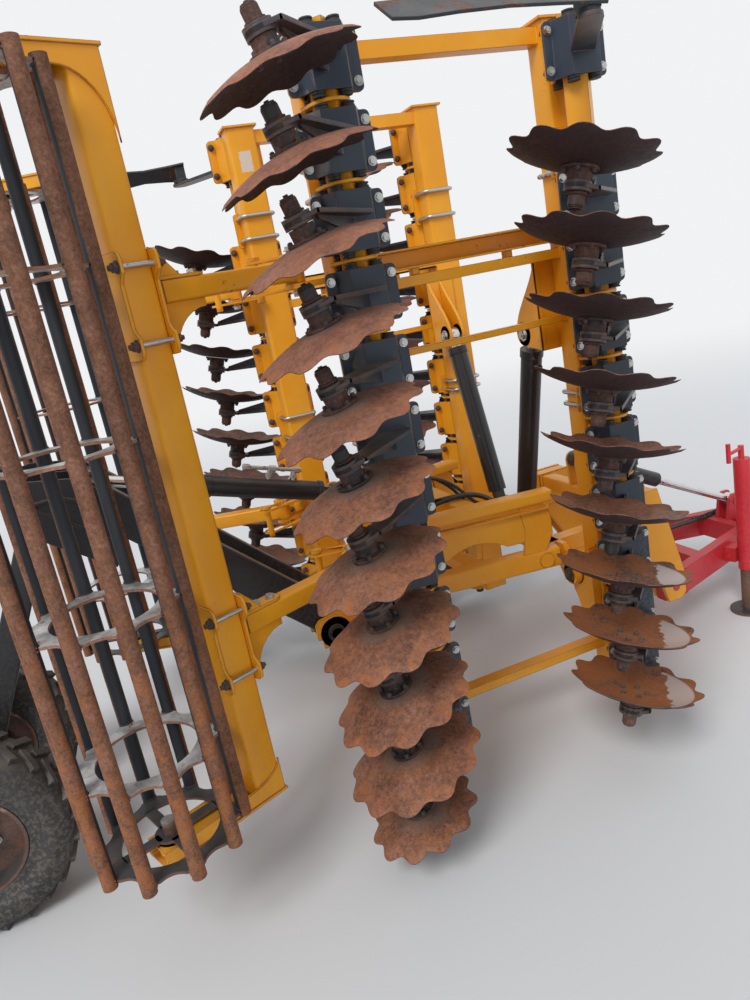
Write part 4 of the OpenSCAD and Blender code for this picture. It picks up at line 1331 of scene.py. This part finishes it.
# the plates are drawn worn down from the 560 mm of new ones, as the photograph shows them
discPlate = {
    "diameter": 518, "middle": 426, "thick": 6, "dish": 58, "flat": 72, "bore": 20,
    "lobes": 11, "cut": 26, "bevel": 14, "edge": 2, "seed": 5,
}


# dished disc with a wavy rim, its edge ground thin by the soil, in millimetres on its own axis
def drawDisc(s, diameter, chance):
    d = discPlate
    ball = (d["diameter"]**2/4 + d["dish"]**2)/(2*d["dish"])
    start, bent, worn = chance.uniform(0, 6.28), chance.uniform(0.5, 2.5), chance.uniform(0.5, 2.5)
    angles = [2*math.pi*k/(d["lobes"]*10) for k in range(d["lobes"]*10)]
    rims = [diameter/2 - d["cut"]*(0.5 + 0.5*math.cos(d["lobes"]*a + start))**1.25
            - worn*(1 + math.sin(3*a + 2*start)) for a in angles]

    def ring(share, back, sink, ballRadius):
        points = []
        for a, rim in zip(angles, rims):
            radius = d["flat"] + 1 + (rim - back - d["flat"] - 1)*share
            z = d["dish"] - ball + math.sqrt(ballRadius**2 - radius**2) + sink
            z += bent*math.sin(2*a + start)*(radius/280)**2
            points.append((radius*math.cos(a), radius*math.sin(a), z))
        return points

    flat = d["dish"] - ball + math.sqrt(ball**2 - d["flat"]**2)
    centre = [[(d["bore"]*math.cos(a), d["bore"]*math.sin(a), flat - t) for a in angles]
              for t in (0, d["thick"])]
    shares = [k/6 for k in range(7)]
    outer = [ring(share, d["bevel"], 0, ball) for share in shares]
    inner = [ring(share, d["bevel"], 0, ball - d["thick"]) for share in shares]
    edge = [ring(1, 0, d["edge"], ball - d["thick"]), ring(1, 0, 0, ball - d["thick"])]
    s.loft([centre[0]] + outer + edge + inner[::-1] + [centre[1]])


def makeRows(side, name):
    inner, arms, blade, plates = Shape(), Shape(), Shape(), Shape()
    chance = random.Random(discPlate["seed"] + side)
    for row, i, z, outboard, hasDisc in rowPlaces(side):
        place = shiftBy(inMm("rowX"), inMm("rowY")[row], 1000*z)
        over = Matrix.Diagonal((1, 1, -1 if outboard else 1, 1))
        drawHousingHalf(inner.moved(place), -1)
        drawHousingHalf(arms.moved(place), 1)
        if hasDisc:
            drawDiscArm(arms.moved(place, over))
            small = not outboard and i == machine["rowUnits"] - 1
            drawDisc(onAxis(plates.moved(place, over)), discPlate["middle" if small else "diameter"], chance)
        else:
            drawBladeArm(arms.moved(place, over))
            drawSideBlade(blade.moved(place), sideBlade["lengths"][row])
    wing = "wing_" + name
    showPiece(inner, "housing_halves_" + name, wing, yellowPaint, side, "clamp_shells_" + name)
    showPiece(arms, "arms_" + name, wing, graphitePaint, side, "disc_arms_" + name)
    showPiece(blade, "leaf_" + name, wing, bladeIron, side, "side_blade_" + name)
    showPiece(plates, "disc_plates_" + name, wing, discRust, side, "discs_" + name)


wingShape = {
    "low": 200, "top": 2895, "wall": 8, "channel": 2180,
    "foldLug": (380, 1750), "lugY": (720, 792), "lugThick": 18,
    "adjustAt": (440, -410),
}


def makeWing(side, name):
    s = Shape()
    x0, x1 = inMm("columnX")
    wide, low, top = inMm("columnWide"), wingShape["low"], wingShape["top"]
    rear, front = inMm("rowY")
    for y in (rear, front):
        s.squareTube(x0, y - wide/2, x1, y + wide/2, low, top, wingShape["wall"])
        s.block((x0 - 10, y - wide/2 - 12, top - 1), (x1 + 6, y + wide/2 + 12, top + 9))
    rowX = inMm("rowX")
    for row, height in bracketPlaces(side):
        y, z = inMm("rowY")[row], 1000*height
        outline = [(x1 - 2, y - 66), (rowX - 50, y - 86)] + ringPoints((rowX, y), 72, 14, -80, 80)
        s.extrude(outline + [(rowX - 50, y + 86), (x1 - 2, y + 66)], z - 6, z + 6)
    y0, y1 = rear + wide/2 - 1, front - wide/2 + 1
    channel = wingShape["channel"]
    # bars between the columns and two spacers: from x, to x, from y, to y, height and thickness
    for a, b, start, end, z, thick in (
            (15, 75, y0, y1, top - 75, 60), (10, 18, y0, y1, channel - 75, 75),
            (10, 80, y0, y1, channel - 8, 8), (10, 80, y0, y1, channel - 75, 8),
            (20, 70, y0, y1, channel - 140, 40), (30, 60, 150, 180, channel - 101, 27),
            (30, 60, 560, 590, channel - 101, 27), (40, 80, y0, y1, channel - 390, 25),
            (25, 85, y0, y1, low + 90, 40)):
        s.block((x0 + a, start, z), (x0 + b, end, z + thick))
    # fold knuckles with a hollow lower edge and a round boss
    hx, hz = inMm("hingeX"), inMm("hingeZ")
    for y in (rear + wide/2, front - wide/2 - 40):
        hollow = ringPoints((hx - 175, hz - 215), 190, 8, -4, 40)
        s.plateY(y, 40, [(hx - 20, hz + 45), (hx - 30, hz - 40)] + hollow[::-1]
                 + [(x0 - 6, hz - 230), (x1 - 10, hz - 230), (x1 - 10, hz + 150)])
        s.rodY(y, y + 40, (hx, hz), 55, 32)
    lx, lz = wingShape["foldLug"]
    thick = wingShape["lugThick"]
    for y in wingShape["lugY"]:
        curve = [(x0 + 1 + (lx - 51 - x0)*(3*t*t - 2*t*t*t), lz + 330 - 325*t)
                 for t in (k/12 for k in range(13))]
        s.plateY(y, thick, curve + [(lx - 30, lz - 41), (lx, lz - 52), (x0 + 1, lz - 72)])
        s.rodY(y, y + thick, (lx, lz), 52, 32)
    s.block((x0 - 12, 720, lz - 72), (x0 + 2, front, lz + 330))
    ax, ay = wingShape["adjustAt"]
    px, py = inMm("rollerPivot")
    back = rear - wide/2
    for z in inMm("armHeights"):
        for dz in (-62, 42):
            s.extrude([(x0, back + 2), (px - 42, py)] + ringPoints((px, py), 42, 12, 180, 360)[1:-1]
                      + [(px + 42, py), (x1, back + 2)], z + dz, z + dz + 20)
        for dz in (-62, 52):
            plate = [(x0 + 4, back + 2), (x0 - 46, back + 2), (x0 - 60, back - 60)]
            plate += ringPoints((ax, ay), 34, 12, 150, 330) + [(x0 + 4, back - 60)]
            holes = []
            for i in (-1, 0, 1):
                for j in (-0.5, 0.5):
                    hole = shiftBy(x0 - 28, back - 105, 0) @ turnZ(-28)
                    holes.append([tuple((hole @ Vector((j*24 + u, i*24 + v, 0)))[:2])
                                  for u, v in ((-6, -6), (6, -6), (6, 6), (-6, 6))])
            s.extrude(plate, z + dz, z + dz + 10, holes=holes)
        s.moved(shiftBy(ax, ay, z)).rod(15, -85, 75)
        s.moved(shiftBy(ax, ay, z)).rod(24, 62, 74)
    wing = "wing_" + name
    showPiece(s, "wing_beams_" + name, wing, yellowPaint, side, "wing_frame_" + name)


rollerShape = {
    "beam": inMm("rollerBeam"), "half": 55, "arm": 35, "low": 430, "high": 2800, "reach": inMm("rollerReach"),
    "tubes": 10, "tube": 24, "cage": 246,
    "ringRadius": 232, "ringInner": 166, "ringHeights": (445, 760, 1260, 1760, 2260, 2775),
}


def tubeAngle(k):
    return 2*math.pi*(k + 0.35)/rollerShape["tubes"]


def drawEndArm(s, curve):
    r = rollerShape
    tip, front, corner = -r["reach"] - 62, -r["beam"] + r["half"], -r["beam"] - r["half"] - 35
    under, top = 12, 64
    side = [(tip, under)] + quarter((corner, under), (front, -curve), 10) + [(front, top + 1), (tip, top + 1)]
    for x in (-r["half"] - 9, r["half"] - 1):
        s.plateX(x, 10, side)
    s.block((-r["half"] - 14, tip - 6, top), (r["half"] + 14, front + 8, top + 10))
    s.block((-r["half"], tip, under), (r["half"], corner, under + 8))
    s.moved(shiftBy(0, -r["reach"], 0)).rod(54, under, under + 44, sides=32)


def makeRollerFrame(side, name):
    r = rollerShape
    s = Shape().moved(shiftBy(*inMm("rollerPivot"), 0), turnZ(math.degrees(machine["rollerTurn"])))
    beam, half, arm = r["beam"], r["half"], r["arm"]
    face = -beam + half + 11
    for z in inMm("armHeights"):
        outer = roundedBox(2*arm, 2*arm, 8, (0, z))
        inner = roundedBox(2*arm - 12, 2*arm - 12, 4, (0, z))
        s.plateY(-beam + half + 30, beam - half - 30, outer, holes=[inner])
        s.moved(shiftBy(0, 0, z)).rod(arm + 1, -40.5, 40.5, sides=32)
        s.moved(shiftBy(0, 0, z)).rod(15, -72, 72)
        shelf = [(-arm, face), (arm, face)] + ringPoints((0, face + 150), arm, 12, 0, 180)
        s.extrude(shelf, z + arm - 1, z + arm + 10)
        s.block((-arm, face, z + arm), (arm, face + 12, z + arm + 90))
        s.plateX(arm - 10, 9, [(face + 2, z + arm), (face + 90, z + arm), (face + 90, z + arm + 5),
                               (face + 20, z + arm + 89), (face + 2, z + arm + 89)])
        hollow = ringPoints((face + 165, z - 195), 132, 10, 90, 178)
        s.plateX(-20, 40, [(face, z - arm + 1), (face, z - 185)] + hollow[::-1] + [(face + 165, z - arm + 1)])
        for y in (-beam - half - 11, -beam + half - 1):
            m = s.moved(shiftBy(0, y, z - 30))
            waist = []
            for sx, sz, start in ((1, 1, 0), (-1, 1, 90), (-1, -1, 180), (1, -1, 270)):
                corner = ringPoints((sx*64, sz*134), 26, 5, start, start + 90)
                inside = [(sx*90, sz*96), (sx*72, sz*80), (sx*63, sz*66)]
                waist += (inside[::-1] + corner) if sx*sz > 0 else (corner + inside)
            m.plateY(0, 12, waist)
    outer, inner = (roundedBox(w, w, corner, (0, -beam)) for w, corner in ((2*half, 14), (2*half - 16, 7)))
    s.extrude(outer, r["low"] - 38, r["high"] + 38, holes=[inner])
    drawEndArm(s.moved(shiftBy(0, 0, r["high"] - 16)), 190)
    drawEndArm(s.moved(shiftBy(0, 0, r["low"] + 16), Matrix.Diagonal((1, 1, -1, 1))), 60)
    body = "roller_frame_" + name
    showPiece(s, "roller_beam_" + name, body, yellowPaint, side, body)


# radius of a ring plate at an angle: scalloped between the tubes and cut round them
def ringEdge(angle):
    r = rollerShape
    best = r["ringRadius"]
    step = 2*math.pi/r["tubes"]
    for middle, radius, offset in ((r["ringRadius"] + 42, 62, 0.85), (r["cage"], r["tube"] + 0.3, 0.35)):
        away = (angle/step - offset + 0.5) % 1 - 0.5
        away *= step
        across = middle*math.sin(away)
        if abs(across) < radius:
            best = min(best, middle*math.cos(away) - math.sqrt(radius*radius - across*across))
    return best


def makeRoller(side, name):
    r = rollerShape
    x, y = rollerCentre()
    cage, rings = (Shape().moved(shiftBy(1000*x, 1000*y, 0)) for k in range(2))
    for k in range(r["tubes"]):
        a = tubeAngle(k)
        spot = (r["cage"]*math.cos(a), r["cage"]*math.sin(a))
        cage.rod(r["tube"], r["low"], r["high"], spot, 24, r["tube"] - 4)
    edge = [(ringEdge(a)*math.cos(a), ringEdge(a)*math.sin(a)) for a in (2*math.pi*k/240 for k in range(240))]
    for z in r["ringHeights"]:
        rings.extrude(edge, z, z + 10, holes=[ringPoints((0, 0), r["ringInner"], 60)])
    for z in (r["ringHeights"][0], r["ringHeights"][-1]):
        rings.rod(56, z, z + 10, sides=32)
        for k in range(4):
            rings.moved(turnZ(20 + 90*k)).block((40, -20, z), (r["ringInner"] + 4, 20, z + 10))
    for z0, z1 in ((r["low"] - 50, r["low"] + 71), (r["high"] - 71, r["high"] + 50)):
        rings.rod(25, z0, z1)
    body = "roller_" + name
    showPiece(cage, "cage_tubes_" + name, body, tubeRust, side, "roller_cage_" + name)
    showPiece(rings, "cage_rings_" + name, body, ringSteel, side, "roller_rings_" + name)


# pins of the middle and the drawbar: y and z in millimetres, but x and z for the fold cylinder's foot
pins = {
    "carriage": (-360, 640), "mast": (-150, 1190), "liftRod": (-1180, 1520), "drawCylinder": (1180, 1010),
    "foldFoot": (120, 850),
}


def makeCentreFrame():
    s = Shape()
    base, hx, hz = pins["foldFoot"], inMm("hingeX"), inMm("hingeZ")
    for sx in (1, -1):
        h = s.moved(Matrix.Diagonal((sx, 1, 1, 1)))
        t = h.moved(shiftBy(290, -20, 0), turnZ(-10))
        t.plateY(0, 740, roundedBox(80, 90, 12, (40, 740)))
        t.plateY(0, 730, roundedBox(80, 50, 8, (50, 1040)))
        t.block((60, 20, 985), (94, 710, 993))
        arch = ringPoints((355, 645), 245, 14, 125.3, 54.7)
        t.plateX(60, 10, [(20, 845)] + arch + [(640, 845), (640, 1016), (20, 1016)])
        t.plateX(56, 16, [(0, 784), (70, 784), (50, 900), (50, 1016), (0, 1016)])
        nose = quarter((660, 1016), (718, 930), 6)[::-1]
        t.plateX(56, 16, [(570, 784), (680, 784), (718, 860), (718, 930)] + nose + [(570, 1016), (590, 900)])
        t.rodX(79, 92, (670, 740), 34)
        for y, x0 in ((2, 330), (732, 400)):
            h.plateY(y, 30, [(x0, 780), (x0, 700), (hx - 44, hz - 40), (hx + 20, hz - 40), (hx + 20, hz + 40),
                             (hx - 10, hz + 100), (x0 + 60, 780)])
            h.rodY(y, y + 30, (hx, hz), 50, 32)
        h.rodY(-39.7, 36, (hx, hz), 25)
        h.rodY(728, 803.7, (hx, hz), 25)
        h.block((300, 690, 695), (380, 1330, 770))
        for x in (310, 400):
            h.plateX(x, 20, [(1130, 700), (1300, 420), (1350, 262), (1430, 262), (1460, 290), (1460, 400),
                             (1330, 880), (1130, 880)])
        h.block((306, 1134, 704), (414, 1326, 876))
        for y in (720, 792):
            h.plateY(y, 18, [(base[0] - 55, 760), (base[0] + 55, 760)]
                     + ringPoints((base[0], base[1]), 38, 12, 0, 180))
        h.rodY(712, 818, base, 15)
        h.rodY(704, 714, base, 30)
        for p in ((0, 1104), (60, 1056)):
            h.rodX(46, 66, p, 15, 20)
    for y in (-20, 300):
        s.plateX(-360, 720, roundedBox(80, 70, 10, (y + 40, 735)))
    s.plateX(-430, 860, roundedBox(80, 70, 10, (740, 735)))
    s.plateX(-360, 720, roundedBox(80, 80, 10, (340, 1015)))
    s.plateX(-301, 602, roundedBox(80, 80, 10, (1190, 830)))
    for x in (-275, -165, 145, 255):
        s.plateX(x, 20, [(-445, 625), (-330, 590), (-200, 672), (-20, 690), (60, 700), (60, 790), (-20, 790),
                         (-425, 712), (-445, 690)])
        s.rodX(x, x + 20, pins["carriage"], 72)
        s.block((x, -425, 578), (x + 20, -360, 650))
    for x in (-47, 27):
        s.plateX(x, 20, [(-20, 700), (60, 700), (320, 980), (320, 1040), (-60, 1225), (-188, 1160)])
        s.rodX(x, x + 20, pins["mast"], 42)
        s.plateX(x, 20, [(1150, 865), (1218, 865), (1212, 1010), (1142, 1010)])
        s.rodX(x, x + 20, pins["drawCylinder"], 36)
    for name in ("mast", "drawCylinder"):
        s.rodX(-50, 50, pins[name], 20)
    showPiece(s, "middle_frame", "frame", yellowPaint, 1, "centre_frame")


carriage = {"legX": 210, "knee": (-1200, 1450), "leg": (70, 150), "lower": (62, 100), "cheek": 13}


def makeCarriage():
    s = Shape()
    pivot, knee, pin, axle = pins["carriage"], carriage["knee"], pins["liftRod"], inMm("axle")
    for sx in (1, -1):
        x = sx*carriage["legX"]
        s.beamYZ(x, (pivot[0] + 24, pivot[1] + 24), (knee[0] + 24, knee[1] + 24), *carriage["leg"])
        s.rodX(x - 36, x + 36, pivot, 62, 36)
        s.rodX(sx*148, sx*292, pivot, 25)
        s.rodX(sx*277, sx*292, pivot, 40)
        s.beamYZ(x, (-1400, 1470), axle, *carriage["lower"])
        face = 256 if sx > 0 else -268
        for a, b in (((-1405, 1522), (-1302, 1530)), ((-1304, 1531), (-1234, 1498)),
                     ((-1236, 1500), (-1181, 1349)), ((-1405, 1520), (-1152, 1310))):
            s.beamYZ(face + 6, a, b, 12, 12)
        s.rodX(sx*48, sx*272, pin, 24)
        s.rodX(sx*256, sx*266, pin, 38)
    for x in (-257, -61, 48, 244):
        s.plateX(x, carriage["cheek"], [(-1165, 1202), (-1323, 1322), (-1417, 1394), (-1490, 1440),
                                        (-1490, 1600), (-1400, 1615), (-1250, 1590), (-1190, 1572),
                                        (-1134, 1520), (-1122, 1440), (-1118, 1260)])
    s.plateX(-250, 500, roundedBox(80, 70, 10, (-1290, 1370)))
    s.plateX(-250, 500, roundedBox(80, 80, 10, (-1430, 1445)))
    s.rodX(-440, 440, axle, 30)
    showPiece(s, "lift_knee", "carriage", blackPaint, 1, "carriage_frame")


# cylinder glands, ports and the lift valve's pipe; each drawn along its cylinder's own axis
def makeCylinderDetails():
    x, z = pins["foldFoot"]
    across, up = wingShape["foldLug"][0] - x, wingShape["foldLug"][1] - z
    foldTurn = Matrix.Rotation(math.atan2(across, up), 4, "Y")
    length = math.hypot(across, up)
    for side, name in sides:
        s = Shape().moved(shiftBy(x, 1000*wingPins["foldPin"][1], z), foldTurn)
        s.rod(52, length - 109, length - 74.5, sides=32, inner=46)
        for port in (100, length - 145):
            s.moved(shiftBy(44, 0, port), layOver()).rod(15, 0, 22, sides=20)
        piece = "fold_glands_" + name
        addPiece(piece, "fold_barrel_" + name, s.mesh(piece, side), blackPaint)
    lift = alongYZ(pins["mast"], pins["liftRod"]) @ turnZ(90)
    s = Shape().moved(lift)
    s.rod(50, 586, 621, sides=32, inner=44)
    s.rod(49, 74, 96, sides=32, inner=44)
    addPiece("lift_gland", "lift_barrel", s.mesh("lift_gland"), blackPaint)
    s = Shape().moved(lift)
    s.rod(9, 180, 450, (92, 0), 16)
    for z in (190, 300, 420):
        s.rod(15, z, z + 30, (92, 0), 6)
    for z in (215, 330):
        branch = s.moved(shiftBy(44, 0, z), layOver())
        branch.rod(9, 0, 50, sides=16)
        branch.rod(15, 10, 28, sides=6)
    addPiece("lift_pipe", "lift_barrel", s.mesh("lift_pipe"), zincBolt)


hoses = {
    "radius": 0.0095,
    "fold": [[(120, 703, 864), (122, 670, 868), (150, 620, 900), (205, 550, 990), (225, 450, 1055),
              (215, 340, 1072), (180, 230, 1068), (135, 90, 1088), (104, 8, 1102), (66, 0, 1104)],
             [(120, 703, 838), (126, 668, 838), (170, 610, 870), (235, 540, 980), (252, 450, 1052),
              (238, 340, 1072), (195, 220, 1052), (135, 120, 1050), (102, 70, 1054), (66, 62, 1056)]],
    "bar": [[(-100, 1652, 394.5), (-99, 1710, 394.5), (-86, 1900, 402), (-76, 2060, 404.5),
             (-70, 2200, 412), (-64, 2400, 430)],
            [(-122, 1652, 394.5), (-121, 1710, 394.5), (-108, 1900, 404), (-98, 2060, 404.5),
             (-84, 2200, 420), (-76, 2400, 436)]],
}


# a smooth line through the points, eight steps from each to the next
def smoothLine(points, steps=8):
    v = [Vector(p) for p in points]
    line = []
    for i in range(len(v) - 1):
        a, b, c, d = v[max(i - 1, 0)], v[i], v[i + 1], v[min(i + 2, len(v) - 1)]
        for k in range(steps):
            t = k/steps
            line.append(0.5*(2*b + (c - a)*t + (2*a - 5*b + 4*c - d)*t*t + (3*b - a - 3*c + d)*t*t*t))
    return line + [v[-1]]


def makeHoses():
    for name, body, routes, flanks in (("fold_hoses", "frame", hoses["fold"], (1, -1)),
                                       ("drawbar_hoses", "drawbar", hoses["bar"], (1,))):
        paths = [[at(p.x/1000, p.y/1000, p.z/1000, side) for p in smoothLine(route)]
                 for side in flanks for route in routes]
        grow(name, body, pathMesh(name, paths), rodTree, hoseRubber, bentRod(hoses["radius"]))


for side, name in sides:
    makeRows(side, name)
    makeWing(side, name)
    makeRollerFrame(side, name)
    makeRoller(side, name)
makeCentreFrame()
makeCarriage()
makeCylinderDetails()
makeHoses()
print("beams, arms, cages and hoses drawn")


for side, name in sides:
    makeHousingBolts(side, name)
    makeHubBolts(side, name)
    makeCordEnds(side, name)
    makeUBolts(side, name)
    makeRollerBolts(side, name)
    makeWingPins(side, name)
    makeWingWelds(side, name)
    makeRingWelds(side, name)
    makeTyre(side, name)
print("fasteners, beads and tyres grown")

counts = {o.name: sum(len(p.vertices) - 2 for p in o.data.polygons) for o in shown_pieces()}
print("triangles shown:", sum(counts.values()), "most in", max(counts, key=counts.get), max(counts.values()))
